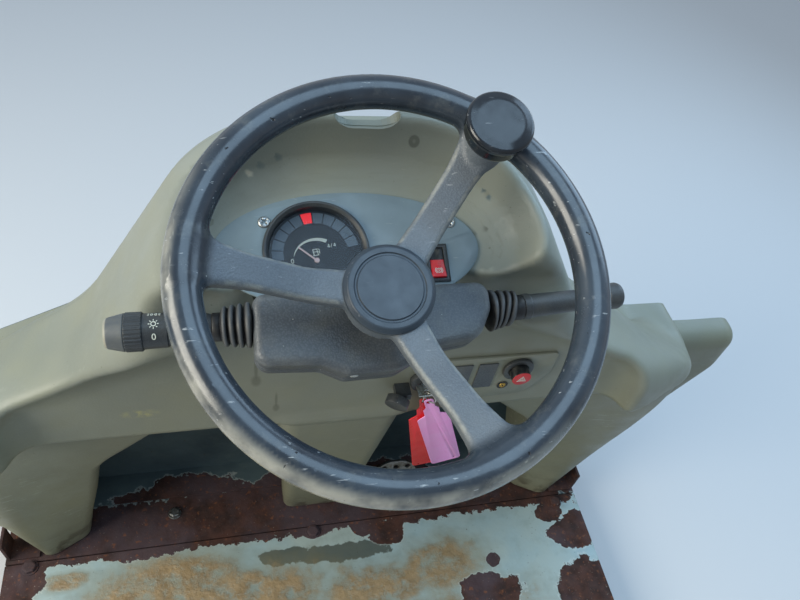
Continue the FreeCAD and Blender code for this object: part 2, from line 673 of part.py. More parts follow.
# The key ring hangs on the key, the tag link on the key ring; their planes stand upright.
# The front tag hangs on the ring and the back tag on the link.
RING_RADIUS, RING_WIRE = 8.0, 1.0
RING_DROP = RING_RADIUS - RING_WIRE - KEY_THICK / 2 - 0.5
RING_OUT = math.sqrt(RING_RADIUS ** 2 - RING_DROP ** 2)
RING_DIRECTION = V(-math.sqrt(0.5), math.sqrt(0.5), 0)
LINK_DIRECTION = V(math.sqrt(0.5), math.sqrt(0.5), 0)
RING_AT = V(KEY_X, KEY_HOLE_Y, KEY_Z - RING_DROP) - RING_DIRECTION * RING_OUT
LINK_RADIUS, LINK_WIRE, LINK_ROUND = 5.0, 0.8, math.radians(50.0)
LINK_HUNG = RING_AT + RING_DIRECTION * (RING_RADIUS * math.sin(LINK_ROUND))
LINK_REST = (RING_WIRE + LINK_WIRE + 0.25) / math.cos(LINK_ROUND)
LINK_DROP = RING_RADIUS * math.cos(LINK_ROUND) - LINK_REST + LINK_RADIUS
LINK_AT = LINK_HUNG - Z_AXIS * LINK_DROP
TAG_HOLE, TAG_THICK, TAG_PLAY = 3.5, 1.2, 0.2
TAG_LENGTH, TAG_SLOT = 170.0, 2.0


def make_ignition():
    """Lock cylinder with a flange on the dash and a barrel through it."""
    lock = rod(LOCK_RADIUS, (KEY_X, LOCK_REAR, KEY_Z), (KEY_X, POCKET_FACE, KEY_Z))
    lock = lock.fuse(rod(LOCK_BARREL, (KEY_X, LOCK_REAR, KEY_Z), (KEY_X, LOCK_DEPTH, KEY_Z)))
    slot = box(KEY_X - 4.7, KEY_X + 4.7, LOCK_REAR - 5, LOCK_REAR + 26, KEY_Z - 1.2, KEY_Z + 1.2)
    return lock.cut(slot)


def make_ignition_cover():
    """Round dust cover, swung open on a short strap beside the lock."""
    x = KEY_X - LOCK_RADIUS
    cap = rod(COVER_RADIUS, (x - 15, 75, KEY_Z - 14), (x - 20, 66, KEY_Z - 17))
    strap = box(x - 19, x - 0.2, 73, POCKET_FACE - 0.2, KEY_Z - 16, KEY_Z - 6)
    return cap.fuse(strap)


def make_key():
    half = KEY_THICK / 2
    blade = box(KEY_X - 4.2, KEY_X + 4.2, KEY_REAR + 12, LOCK_REAR + 20, KEY_Z - half, KEY_Z + half)
    x0, x1 = KEY_X - KEY_BOW, KEY_X + KEY_BOW
    key = blade.fuse(box(x0, x1, KEY_REAR, LOCK_REAR - 2, KEY_Z - half, KEY_Z + half))
    return key.cut(rod(KEY_HOLE, (KEY_X, KEY_HOLE_Y, KEY_Z - 5), (KEY_X, KEY_HOLE_Y, KEY_Z + 5)))


def wire_ring(radius, wire, at, axis):
    """A closed wire ring about a point, of eight-sided wire."""
    turns = [math.radians(45 * i) for i in range(8)]
    body = turned([(radius + wire * math.cos(t), 0, wire * math.sin(t)) for t in turns], Z_AXIS)
    body.Placement = FreeCAD.Placement(at, FreeCAD.Rotation(Z_AXIS, axis))
    return body


# Tag outline about its hole, right half. Columns: x, z, corner radius.
TAG = [(6.0, 6.5, 4.0), (6.0, -12.0, 1.5), (10.0, -18.0, 1.5), (10.0, -31.0, 2.0)]
TAG += [(21.0, -38.0, 4.0), (21.0, -TAG_LENGTH, 5.0)]


def make_tag(at, ring, wire, lean):
    """A moulded tag with a stepped neck, hung on a wire ring and swung aside by lean degrees."""
    body = prism(mirror_loop(TAG), -TAG_THICK / 2, TAG_THICK / 2)
    body = body.cut(rod(TAG_HOLE, (0, -5, 0), (0, 5, 0)))
    slot = (12, 5 - TAG_LENGTH)
    body = body.cut(rod(TAG_SLOT, (slot[0], -5, slot[1]), (slot[0], 5, slot[1])))
    body.translate(V(0, 0, wire + TAG_PLAY - TAG_HOLE))
    body.rotate(V(0, 0, 0), Y_AXIS, -lean)
    body.translate(at - Z_AXIS * ring)
    return body


# Foot pedal
PEDAL_X, PEDAL_Y, PEDAL_LIFT, PEDAL_LEAN = 143.0, 172.0, 8.0, 75.0
PEDAL_HALF, PEDAL_LENGTH, PEDAL_THICK = 40.0, 125.0, 5.0
PEDAL_HOLE, PEDAL_PITCH = 5.0, 22.0


def pedal_place(shape):
    shape.rotate(V(0, 0, 0), X_AXIS, PEDAL_LEAN)
    shape.translate(V(PEDAL_X, PEDAL_Y, FLOOR + PEDAL_LIFT))
    return shape


def make_pedal():
    """Perforated plate with a round top, leaning forward."""
    w, length = PEDAL_HALF, PEDAL_LENGTH
    plate = slab([(-w, 0, 6.0), (w, 0, 6.0), (w, length, 36.0), (-w, length, 36.0)], 0, PEDAL_THICK)
    for i in range(-1, 2):
        for j in range(1, 6):
            x, y = PEDAL_PITCH * i, PEDAL_PITCH * j
            plate = plate.cut(rod(PEDAL_HOLE, (x, y, -5), (x, y, 10)))
    return pedal_place(plate)


def make_pedal_block():
    """Hinge block under the plate, cut to the plate's slope."""
    w, y0 = PEDAL_HALF - 10, PEDAL_Y + 6
    block = box(PEDAL_X - w, PEDAL_X + w, y0, y0 + 40, FLOOR, FLOOR + 90)
    return block.cut(pedal_place(box(-200, 200, -200, 400, 0, 400)))


save("cowl", make_cowl())
save("footplate", make_footplate())
save("front_plate", make_front_plate())
save("deck_frame", make_frame())
save("bulkhead", make_bulkhead())
save("bracket_left", make_bracket(-1))
save("bracket_right", make_bracket(1))
save("steering_wheel", make_wheel(), True)
save("hub_cap", make_hub_cap(), True)
save("spinner_knob", make_knob(), True)
save("knob_pin", make_pin(), True)
save("switch_housing", make_housing(), True)
save("column_tube", make_column(), True)
save("column_shaft", make_shaft(), True)
save("steering_valve", valve_block(0.0), True)
save("column_bracket", make_column_bracket())
save("left_boot", stalk_part(bellows(LEFT_START, LEFT_BOOT_END, 5, 22.0, 15.5), -1), True)
save("left_barrel", stalk_part(LEFT_BARREL, -1), True)
save("left_band", stalk_part(LEFT_BAND, -1), True)
save("left_knob", stalk_part(LEFT_KNOB, -1), True)
save("left_cap", stalk_part(LEFT_CAP, -1), True)
save("right_boot", stalk_part(bellows(RIGHT_START, RIGHT_BOOT_END, 5, 21.0, 14.5), 1), True)
save("right_barrel", stalk_part(RIGHT_BARREL, 1), True)
save("right_knob", stalk_part(RIGHT_KNOB, 1), True)
save("instrument_panel", make_panel(), True)
save("gauge_bezel", make_bezel(), True)
save("gauge_dial", make_dial(), True)
save("gauge_needle", make_needle(), True)
save("gauge_lens", make_lens(), True)
save("rocker_frame", make_rocker_frame(), True)
save("rocker_button", make_rocker(), True)
save("switch_plate", make_switch_plate())
save("switch_blank_outer", make_blank(*BLANKS[0]))
save("switch_blank_inner", make_blank(*BLANKS[1]))
save("hazard_bezel", make_hazard_bezel())
save("hazard_button", make_hazard_button())
save("ignition_switch", make_ignition())
save("ignition_cover", make_ignition_cover())
save("ignition_key", make_key())
save("key_ring", wire_ring(RING_RADIUS, RING_WIRE, RING_AT, LINK_DIRECTION))
save("tag_link", wire_ring(LINK_RADIUS, LINK_WIRE, LINK_AT, RING_DIRECTION))
save("tag_front", make_tag(RING_AT, RING_RADIUS, RING_WIRE, 18.8))
save("tag_back", make_tag(LINK_AT, LINK_RADIUS, LINK_WIRE, 11.5))
save("pedal_plate", make_pedal())
save("pedal_block", make_pedal_block())
print(len(nodes), "nodes")
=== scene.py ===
import json
import math

import bmesh
import bpy
import numpy as np
from mathutils import Matrix, Vector

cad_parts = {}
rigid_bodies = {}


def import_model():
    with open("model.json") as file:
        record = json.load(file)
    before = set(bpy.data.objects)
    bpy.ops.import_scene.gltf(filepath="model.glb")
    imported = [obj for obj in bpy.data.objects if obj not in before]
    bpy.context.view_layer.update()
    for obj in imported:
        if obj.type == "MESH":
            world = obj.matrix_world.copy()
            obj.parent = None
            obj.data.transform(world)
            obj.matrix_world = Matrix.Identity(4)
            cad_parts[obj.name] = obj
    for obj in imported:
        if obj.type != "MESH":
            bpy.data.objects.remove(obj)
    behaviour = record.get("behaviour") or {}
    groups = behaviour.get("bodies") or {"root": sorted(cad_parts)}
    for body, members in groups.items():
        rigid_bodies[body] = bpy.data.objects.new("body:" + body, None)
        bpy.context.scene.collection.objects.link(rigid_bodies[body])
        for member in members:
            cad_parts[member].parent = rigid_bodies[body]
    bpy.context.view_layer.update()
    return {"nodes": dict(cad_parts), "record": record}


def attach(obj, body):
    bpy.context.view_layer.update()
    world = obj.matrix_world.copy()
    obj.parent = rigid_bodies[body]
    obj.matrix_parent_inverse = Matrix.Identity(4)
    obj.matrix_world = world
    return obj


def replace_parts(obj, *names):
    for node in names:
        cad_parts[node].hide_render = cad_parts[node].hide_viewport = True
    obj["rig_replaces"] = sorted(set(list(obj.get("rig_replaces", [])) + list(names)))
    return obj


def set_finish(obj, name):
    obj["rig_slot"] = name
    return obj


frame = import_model()

# %% [markdown]
# ## Where the wheel sits
# Everything on a steering console is laid out from the steering wheel, so each table below is written in
# millimetres from the wheel's centre. Two small functions turn such a point, or a point written on the
# tilted wheel itself, into the row's frame in metres.

# %% The wheel's own axes
COLUMN_TILT = math.radians(23.3)
WHEEL_CENTRE = np.array([0.0, -0.020, 0.920])
LEAN_COS, LEAN_SIN = math.cos(COLUMN_TILT), math.sin(COLUMN_TILT)


def from_wheel(points):
    """Points in mm across the wheel, up its face and out along the column, moved to the row's frame."""
    x, up, out = np.asarray(points, float).T
    level = np.column_stack([x, up * LEAN_COS - out * LEAN_SIN, up * LEAN_SIN + out * LEAN_COS])
    return level / 1000 + WHEEL_CENTRE


def to_wheel(piece):
    """A piece's points back in mm: across the wheel, up its face and out along the column."""
    level = np.empty(len(piece.data.vertices) * 3)
    piece.data.vertices.foreach_get("co", level)
    x, y, z = ((level.reshape(-1, 3) - WHEEL_CENTRE) * 1000).T
    return x, y * LEAN_COS + z * LEAN_SIN, -y * LEAN_SIN + z * LEAN_COS


def from_centre(points):
    """Points in mm from the wheel's centre along the row's axes, moved to the row's frame."""
    return np.asarray(points, float) / 1000 + WHEEL_CENTRE


# %% [markdown]
# ## Camera
# The photograph looks down over the driver's left shoulder. The camera's place and turn were worked out
# from the ellipse that the round rim makes in the picture.

# %% Camera at the photograph's angle
EYE = WHEEL_CENTRE + np.array([-0.1285, -0.3539, 0.3866])
YAW, PITCH, ROLL = 0.3611, 0.8375, -0.2208
FOCAL_PX, IMAGE_W = 680.5, 800.0


def camera_axes(yaw, pitch, roll):
    """Right, up and backward directions of a camera turned by yaw, then down by pitch, then rolled."""
    ahead = np.array([math.sin(yaw) * math.cos(pitch), math.cos(yaw) * math.cos(pitch), -math.sin(pitch)])
    right = np.array([math.cos(yaw), -math.sin(yaw), 0.0])
    down = np.cross(ahead, right)
    r = math.cos(roll) * right + math.sin(roll) * down
    d = -math.sin(roll) * right + math.cos(roll) * down
    return np.column_stack([r, -d, -ahead])


cam_data = bpy.data.cameras.new("camera")
cam_data.sensor_width = 36.0
cam_data.lens = FOCAL_PX / IMAGE_W * cam_data.sensor_width
cam_data.clip_start = 0.02
camera = bpy.data.objects.new("camera", cam_data)
bpy.context.scene.collection.objects.link(camera)
turn = np.eye(4)
turn[:3, :3] = camera_axes(YAW, PITCH, ROLL)
turn[:3, 3] = EYE
camera.matrix_world = Matrix(turn.tolist())
bpy.context.scene.camera = camera
bpy.context.scene.view_settings.view_transform = "Standard"

# %% [markdown]
# ## Moulded skins
# The cowl, the wheel and the switch housing are one-piece mouldings whose parts melt into each other with
# soft fillets. Such a shape is easiest to write as a distance field: a short formula for each volume,
# joined or cut with a rounded edge. A skin is then drawn where the distance is zero. Boolean cuts of
# separate meshes would leave hard seams, and sculpting could not be measured.

# %% Distance fields: loops, joins and cuts


def loop_parts(points):
    """Straight runs and corner arcs of a closed loop of (x, z, corner radius), counter-clockwise."""
    rows = [np.array(p, float) for p in points]
    lines, arcs, ends = [], [], []
    for i, row in enumerate(rows):
        before, corner, after = rows[i - 1][:2], row[:2], rows[(i + 1) % len(rows)][:2]
        u = (before - corner) / np.linalg.norm(before - corner)
        w = (after - corner) / np.linalg.norm(after - corner)
        half = math.acos(np.clip(u @ w, -1, 1)) / 2
        middle = (u + w) / np.linalg.norm(u + w)
        centre = corner + middle * row[2] / math.sin(half)
        convex = (corner - before)[0] * (after - corner)[1] - (corner - before)[1] * (after - corner)[0] > 0
        arcs.append((centre, row[2], -middle, math.sin(half), convex))
        ends.append((corner + u * row[2] / math.tan(half), corner + w * row[2] / math.tan(half)))
    for i in range(len(rows)):
        lines.append((ends[i][1], ends[(i + 1) % len(rows)][0]))
    return lines, arcs


def loop_distance(points, x, z):
    """Distance from a loop of straight runs and corner arcs: below zero inside it."""
    lines, arcs = loop_parts(points)
    nearest = np.full(np.shape(x), np.inf)
    signed = np.zeros(np.shape(x))
    for a, b in lines:
        run = b - a
        length = max(np.linalg.norm(run), 1e-6)
        along = np.clip(((x - a[0]) * run[0] + (z - a[1]) * run[1]) / length ** 2, 0, 1)
        dx, dz = x - a[0] - along * run[0], z - a[1] - along * run[1]
        away = np.hypot(dx, dz)
        side = np.where((run[0] * (z - a[1]) - run[1] * (x - a[0])) > 0, -1.0, 1.0)
        closer = away < nearest
        nearest = np.where(closer, away, nearest)
        signed = np.where(closer, away * side, signed)
    for centre, radius, middle, reach, convex in arcs:
        dx, dz = x - centre[0], z - centre[1]
        out = np.hypot(dx, dz)
        inside = (dx * middle[0] + dz * middle[1]) >= out * reach
        gap = out - radius
        closer = inside & (np.abs(gap) < nearest)
        nearest = np.where(closer, np.abs(gap), nearest)
        signed = np.where(closer, gap if convex else -gap, signed)
    return signed


def both_sides(half):
    """A half loop from the top centre down the right side, closed about x = 0."""
    return list(reversed(list(half) + [(-x, z, r) for x, z, r in reversed(half)]))


def join(a, b, soft):
    """The union of two volumes, with a fillet of about the given radius where they meet."""
    gap = np.maximum(soft - np.abs(a - b), 0) / soft
    return np.minimum(a, b) - gap ** 2 * soft / 4


def meet(a, b, soft):
    """The volume shared by two, its new edge rounded."""
    return -join(-a, -b, soft)


def cut(a, b, soft):
    """The first volume less the second, its new edge rounded."""
    return -join(-a, b, soft)


def eased(rows, z, column, spread=26.0):
    """A column of a table that is read at height z, eased over the table's corners."""
    table = np.array(sorted(rows))
    return sum(np.interp(z + k * spread, table[:, 0], table[:, column]) for k in (-1, -0.5, 0, 0.5, 1)) / 5


# %% Drawing the skin of a field


def steep(field, points, reach=0.4):
    """The field's value and slope at many points, by small steps along each axis."""
    slope = np.empty_like(points)
    for axis in range(3):
        ahead, behind = points.copy(), points.copy()
        ahead[:, axis] += reach
        behind[:, axis] -= reach
        slope[:, axis] = (field(*ahead.T) - field(*behind.T)) / (2 * reach)
    return field(*points.T), slope


def skin_points(field, low, high, step):
    """Corners and four-sided faces of the field's zero surface: one corner to a grid cell."""
    low, high = np.array(low, float), np.array(high, float)
    count = np.ceil((high - low) / step).astype(int) + 1
    axes = [low[i] + step * np.arange(count[i]) for i in range(3)]
    value = field(axes[0][:, None, None], axes[1][None, :, None], axes[2][None, None, :])
    value = np.broadcast_to(value, count)
    full = value < 0
    total = np.zeros(tuple(count - 1) + (3,))
    hits = np.zeros(tuple(count - 1))
    corner = [(i, j, k) for i in (0, 1) for j in (0, 1) for k in (0, 1)]
    view = {c: tuple(slice(c[i], count[i] - 1 + c[i]) for i in range(3)) for c in corner}
    for a in corner:
        for axis in range(3):
            if a[axis]:
                continue
            b = tuple(1 if i == axis else a[i] for i in range(3))
            crossing = full[view[a]] != full[view[b]]
            va, vb = value[view[a]], value[view[b]]
            with np.errstate(divide="ignore", invalid="ignore"):
                part = np.where(crossing, va / (va - vb), 0.0)
            hits += crossing
            for i in range(3):
                total[..., i] += crossing * (part if i == axis else a[i])
    used = hits > 0
    index = np.full(used.shape, -1)
    index[used] = np.arange(used.sum())
    cell = np.argwhere(used)
    points = low + step * (cell + total[used] / hits[used][:, None])
    faces = []
    for axis in range(3):
        u, w = (axis + 1) % 3, (axis + 2) % 3
        shift = [slice(1, -1)] * 3
        shift[axis] = slice(0, count[axis] - 1)
        start = full[tuple(shift)]
        shift[axis] = slice(1, count[axis])
        changed = np.argwhere(start != full[tuple(shift)])
        changed = changed + np.array([0 if i == axis else 1 for i in range(3)])
        begin = full[tuple(changed.T)]
        ring = []
        for du, dw in ((-1, -1), (0, -1), (0, 0), (-1, 0)):
            spot = changed.copy()
            spot[:, u] += du
            spot[:, w] += dw
            ring.append(index[tuple(spot.T)])
        quad = np.column_stack(ring)
        quad[~begin] = quad[~begin][:, ::-1]
        faces.append(quad)
    return points, np.vstack(faces)


def settle(field, points, rounds=3):
    """Move points along the slope until they lie on the surface; give the outward directions too."""
    for _ in range(rounds):
        value, slope = steep(field, points)
        size = np.maximum((slope ** 2).sum(1), 0.04)
        points = points - np.clip(value / size, -6, 6)[:, None] * slope
    value, slope = steep(field, points)
    return points, slope / np.maximum(np.linalg.norm(slope, axis=1), 1e-6)[:, None]


def drop_loose(points, faces):
    keep = np.unique(faces)
    index = np.full(len(points), -1)
    index[keep] = np.arange(len(keep))
    return keep, index[faces]


def trim(field, opening, points, faces, rounds=4):
    """Cut an opening where its own field is below zero, with the edge drawn onto its outline."""
    value = opening(*points.T)
    faces = faces[(value[faces] > 0).any(1)]
    keep, faces = drop_loose(points, faces)
    points, value = points[keep], value[keep]
    edge = value < 0
    spot = points[edge]
    for _ in range(rounds):
        gap, slope = steep(opening, spot)
        spot = spot - (gap / np.maximum((slope ** 2).sum(1), 0.04))[:, None] * slope
        gap, slope = steep(field, spot)
        spot = spot - (gap / np.maximum((slope ** 2).sum(1), 0.04))[:, None] * slope
    points[edge] = spot
    return points, faces


def make_mesh(name, points, faces, body, corner_normals=None, smooth=True):
    """A piece from points in metres and a list or array of faces; it rides on a body."""
    mesh = bpy.data.meshes.new(name)
    mesh.from_pydata(np.asarray(points).tolist(), [], faces if isinstance(faces, list) else faces.tolist())
    mesh.polygons.foreach_set("use_smooth", [smooth] * len(mesh.polygons))
    if corner_normals is not None:
        mesh.normals_split_custom_set(corner_normals.tolist())
    piece = bpy.data.objects.new(name, mesh)
    bpy.context.scene.collection.objects.link(piece)
    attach(piece, body)
    return piece


def add_values(piece, name, values):
    """A number at every point of a piece, for its material to read."""
    layer = piece.data.attributes.new(name, "FLOAT", "POINT")
    layer.data.foreach_set("value", np.asarray(values, np.float32))


def sharpness(field, points, reach):
    """How strongly the surface bends outwards at each point: 0 on flats, near 1 on crisp edges."""
    centre, total = field(*points.T), 0
    for axis in range(3):
        for side in (-reach, reach):
            moved = points.copy()
            moved[:, axis] += side
            total = total + field(*moved.T)
    return (total - 6 * centre) / reach


def moulding(name, field, low, high, step, body, place, openings=(), wall=None):
    """A moulded piece drawn from its field; with a wall it is an open shell of that thickness."""
    points, faces = skin_points(field, low, high, step)
    points, _ = settle(field, points)
    for opening in openings:
        points, faces = trim(field, opening, points, faces)
    _, slope = steep(field, points)
    outward = slope / np.maximum(np.linalg.norm(slope, axis=1), 1e-6)[:, None]
    bend = sharpness(field, points, 3.0)
    turn = place(np.vstack([outward * 1000, np.zeros((1, 3))]))
    turned = (turn[:-1] - turn[-1])
    if wall is None:
        piece = make_mesh(name, place(points), faces, body, turned[faces.ravel()])
        add_values(piece, "bend", bend)
        print(name, len(points), "points", len(faces), "faces")
        return piece
    inner, _ = settle(lambda *p: field(*p) + wall, points - outward * wall, 2)
    count = len(points)
    sides = np.stack([faces, np.roll(faces, -1, axis=1)], axis=-1).reshape(-1, 2)
    key = sides[:, 0].astype(np.int64) * count + sides[:, 1]
    back = sides[:, 1].astype(np.int64) * count + sides[:, 0]
    rim = sides[~np.isin(key, back)]
    strip = np.column_stack([rim[:, 0], rim[:, 0] + count, rim[:, 1] + count, rim[:, 1]])
    whole = np.vstack([points, inner])
    every = np.vstack([faces, faces[:, ::-1] + count, strip])
    placed = place(whole)
    across = np.cross(placed[strip[:, 1]] - placed[strip[:, 0]], placed[strip[:, 3]] - placed[strip[:, 0]])
    across /= np.maximum(np.linalg.norm(across, axis=1), 1e-9)[:, None]
    normals = np.vstack([turned[faces.ravel()], -turned[faces[:, ::-1].ravel()], np.repeat(across, 4, axis=0)])
    piece = make_mesh(name, placed, every, body, normals)
    add_values(piece, "bend", np.concatenate([bend, np.zeros(count)]))
    print(name, len(whole), "points", len(every), "faces")
    return piece


# %% [markdown]
# ## The cowl
# One large plastic moulding, hollow and open to the front. Its tables are the ones the solid model is
# built from: the outline seen from the driver, the rounded rear edge, the legs, the pillar between the
# driver's knees, the recess above the knees and the bowl round the instruments. Here each is a field, so
# that the fillets between them have the large soft radii of the real moulding.

# %% Cowl tables, in mm from the wheel's centre
WALL, COWL_FRONT, BODY_FRONT, BODY_REAR = 6.0, 240.0, 200.0, 50.0
FOOT = -853.7
OUTLINE = both_sides([(142, 25, 164), (298, -229, 170), (556, -356, 72), (520, -520, 4)])
PLAN = both_sides([(545, 700, 2), (545, 127, 100), (345, 18, 60)])
# Half-axes of the rounded rear edge: along Y, and inwards from the outline.
REAR_ROUND_Y, REAR_ROUND_IN = 70.0, 42.0
DASH_LOW, FLANGE_STEP = -372.0, 44.0
# Columns: z, inner x, rear y there, outer x, rear y there, corner radius.
LEG = [(-853.7, 396, 190, 466, 150, 26), (-740, 370, 176, 487, 131, 50), (-640, 345, 160, 506, 113, 75),
       (-516, 320, 138, 530, 95, 90), (-440, 244, 131, 540, 86, 100), (-372, 180, 128, 541, 86, 100)]
# Columns: z, half width, rear y, corner radius.
PILLAR = [(-853.7, 58, 196, 20), (-640, 66, 140, 24), (-372, 84, 92, 28)]
POCKET = both_sides([(100, -88, 30), (150, -171, 60), (380, -282, 40), (380, -420, 4)])
POCKET_FACE, POCKET_SLOPE, POCKET_END_SLOPE = 92.0, 0.577, 0.20
WING = [(540, -406, 6), (420, -430, 6), (420, -853.7, 4), (520, -853.7, 10), (694, -500, 60),
        (694, -408, 30), (600, -408, 30)]
WING_REAR = 198.0
# Bowl round the instruments, in the wheel's frame. Columns: out, centre x, centre up, half x, half up.
BOWL = [(-118, -16, 66, 133, 63), (-103, -12, 66, 158, 88), (-60, -8, 62, 176, 116), (30, -8, 62, 186, 126)]
NOTCH = [(-36, 60, 1), (-28, 4, 22), (34, 4, 22), (42, 60, 1)]
HOUSING = [(-113.7, -46, 14), (-56, -49, 20), (-34, -60, 12), (14, -59, 20), (52, -40, 30), (96, -34, 22),
           (111.7, -6, 24), (111.7, 22, 14), (-113.7, 20, 12)]
STALK_UP, STALK_OUT, STALK_RISE = -4.0, -115.0, math.tan(math.radians(3.5))
KEY_X, KEY_Z = 92.0, -294.0
PANEL_OVAL = (-16.0, 66.0, 131.0, 61.0)


def on_face(x, y, z):
    """Coordinates along the tilted wheel, from level ones: across, up, out."""
    return x, y * LEAN_COS + z * LEAN_SIN, -y * LEAN_SIN + z * LEAN_COS


def oval_distance(x, up, centre_x, centre_up, half_x, half_up):
    u, w = (x - centre_x) / half_x, (up - centre_up) / half_up
    size = np.sqrt(u ** 2 + w ** 2)
    return (size - 1) * size / np.maximum(np.sqrt((u / half_x) ** 2 + (w / half_up) ** 2), 1e-4)


def bowl_field(x, y, z):
    x, up, out = on_face(x, y, z)
    row = [eased(BOWL, out, i, 9.0) for i in range(1, 5)]
    return meet(oval_distance(x, up, *row), -118.0 - out, 12.0)


def scoop_field(x, y, z):
    """Room for the switch housing and the stalks' boots, with soft walls about 9 mm off them."""
    x, up, out = on_face(x, y, z)
    room = meet(loop_distance(HOUSING, x, up) - 6.0, -146.0 - out, 10.0)
    lift = np.maximum(x - 111.7, 0) * STALK_RISE
    away = np.sqrt((up - STALK_UP - lift) ** 2 + np.minimum(out - STALK_OUT, 0) ** 2)
    away = np.where(out > STALK_OUT, np.abs(up - STALK_UP - lift), away)
    radius = np.interp(np.abs(x), [150, 200, 260, 320], [33, 29, 24, 20])
    return join(room, meet(away - radius, np.abs(x) - 300, 20.0), 10.0)


def cowl_field(x, y, z):
    """The cowl's filled shape."""
    side = np.abs(x)
    edge = loop_distance(OUTLINE, x, z)
    u = np.maximum(BODY_REAR + REAR_ROUND_Y - y, 0) / REAR_ROUND_Y
    w = np.maximum(edge + REAR_ROUND_IN, 0) / REAR_ROUND_IN
    size = np.sqrt(u ** 2 + w ** 2)
    scale = np.maximum(np.sqrt((u / REAR_ROUND_Y) ** 2 + (w / REAR_ROUND_IN) ** 2), 1e-3)
    mass = np.where(size > 1e-3, (size - 1) * size / scale, -REAR_ROUND_IN)
    mass = meet(mass, loop_distance(PLAN, x, y), 30.0)
    mass = meet(mass, y - BODY_FRONT, 20.0)
    fall = np.interp(y, [105, 200], [0.0, 34.0]) * np.interp(side, [330, 440], [0.0, 1.0])
    mass = meet(mass, edge + fall, 14.0)
    flange = FLANGE_STEP + np.interp(side, [430, 530], [0.0, 26.0])
    mass = join(mass, meet(edge + flange, BODY_FRONT - 20 - y, 2.0), 5.0)
    slope = np.interp(side, [280, 375], [POCKET_SLOPE, POCKET_END_SLOPE])
    pocket = (loop_distance(POCKET, x, z) - slope * (POCKET_FACE - y)) / np.hypot(1, slope)
    mass = cut(mass, meet(pocket, y - POCKET_FACE, 34.0), 14.0)
    mass = meet(mass, DASH_LOW - z, 8.0)
    x0, y0, x1, y1, radius = (eased(LEG, z, i) for i in range(1, 6))
    length = np.hypot(x1 - x0, y1 - y0)
    rear = ((side - x0) * (y1 - y0) - (y - y0) * (x1 - x0)) / length
    leg = meet(meet(rear, x0 - side, 13.0), side - x1, radius)
    leg = meet(leg, z - DASH_LOW - 14, 20.0)
    mass = join(mass, leg, 16.0)
    half, y0, radius = (eased(PILLAR, z, i) for i in range(1, 4))
    pillar = meet(meet(side - half, y0 - y, radius), z - DASH_LOW - 14, 20.0)
    mass = join(mass, pillar, 16.0)
    mass = join(mass, meet(loop_distance(WING, side, z), WING_REAR - y, 34.0), 14.0)
    mass = cut(mass, bowl_field(x, y, z), 12.0)
    mass = cut(mass, scoop_field(x, y, z), 12.0)
    return meet(mass, FOOT - z, 6.0)


def notch_opening(x, y, z):
    return np.maximum(loop_distance(NOTCH, x, z), 120.0 - y)


def works_opening(x, y, z):
    x, up, out = on_face(x, y, z)
    cx, cu, hx, hu = PANEL_OVAL
    oval = oval_distance(x, up, cx, cu, hx - 7, hu - 7)
    return np.maximum(np.maximum(oval, out + 100.0), -200.0 - out)


def column_opening(x, y, z):
    x, up, out = on_face(x, y, z)
    return np.maximum(np.hypot(x, up) - 23.0, -330.0 - out)


def lock_opening(x, y, z):
    return np.maximum(np.hypot(x - KEY_X, z - KEY_Z) - 12.6, y - 150.0)


def front_opening(x, y, z):
    return COWL_FRONT - y + 0 * x


# %% Cowl
COWL_STEP = 5.6
cowl = moulding("cowl_shell", cowl_field, (-706, 40, -864), (706, 252, 36), COWL_STEP, "console", from_centre,
                (front_opening, notch_opening, works_opening, column_opening, lock_opening), WALL)
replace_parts(cowl, "cowl")
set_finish(cowl, "moulded_plastic")
level = np.empty(len(cowl.data.vertices) * 3)
cowl.data.vertices.foreach_get("co", level)
x, _, z = ((level.reshape(-1, 3) - WHEEL_CENTRE) * 1000).T
add_values(cowl, "outer", np.exp(-(loop_distance(OUTLINE, x, z) / 4.0) ** 2))

# Inside the bowl the edges get no wear and the creases no darkening. Its wall gets a painted shade: a dark band round
# it, darkest on the left.
across, up, out = to_wheel(cowl)
in_bowl = (oval_distance(across, up, -8, 62, 192, 132) < 0) & (np.abs(out + 58) < 48)
bend = np.empty(len(in_bowl), np.float32)
cowl.data.attributes["bend"].data.foreach_get("value", bend)
cowl.data.attributes["bend"].data.foreach_set("value", np.where(in_bowl, 0, bend).astype(np.float32))
dull = np.exp(-((out + 66) / 26.0) ** 2) * np.clip((150 - across) / 120, 0, 1)
add_values(cowl, "dull", np.where(oval_distance(across, up, -8, 62, 190, 130) < 0, dull, 0))

# %% [markdown]
# ## Steering wheel
# The rim, the three dished spokes, the hub boss and the pad under the spinner knob are one moulding. The
# spokes flare into the round rim with wide fillets, so this is a field as well. Its tables are those of
# the solid model.

# %% Steering wheel
RIM_REACH, RIM_TUBE = 165.5, 14.5
SPOKE_ANGLES = (53.0, 173.0, 293.0)
# Columns: distance out, centre height, half width, half thickness.
SPOKE = [(20, -52, 17, 8), (70, -46, 14.5, 7.5), (120, -22, 14.5, 7.5), (163.5, -2, 21, 9)]
SPOKE_EDGE, SPOKE_FLARE = 5.0, 13.0
HUB_LOW, HUB_HIGH, HUB_RADIUS = -66.0, -44.3, 38.0
KNOB_REACH, KNOB_ANGLE, KNOB_FOOT = 146.0, math.radians(51.2), 17.5
KNOB_X, KNOB_UP = KNOB_REACH * math.cos(KNOB_ANGLE), KNOB_REACH * math.sin(KNOB_ANGLE)
PAD_RADIUS, SHAFT_RADIUS = 17.0, 11.0


def rounded_box(dx, dz, radius):
    """Distance from a box of rounded section; dx and dz are how far a point lies beyond its sides."""
    u, w = dx + radius, dz + radius
    return np.hypot(np.maximum(u, 0), np.maximum(w, 0)) + np.minimum(np.maximum(u, w), 0) - radius


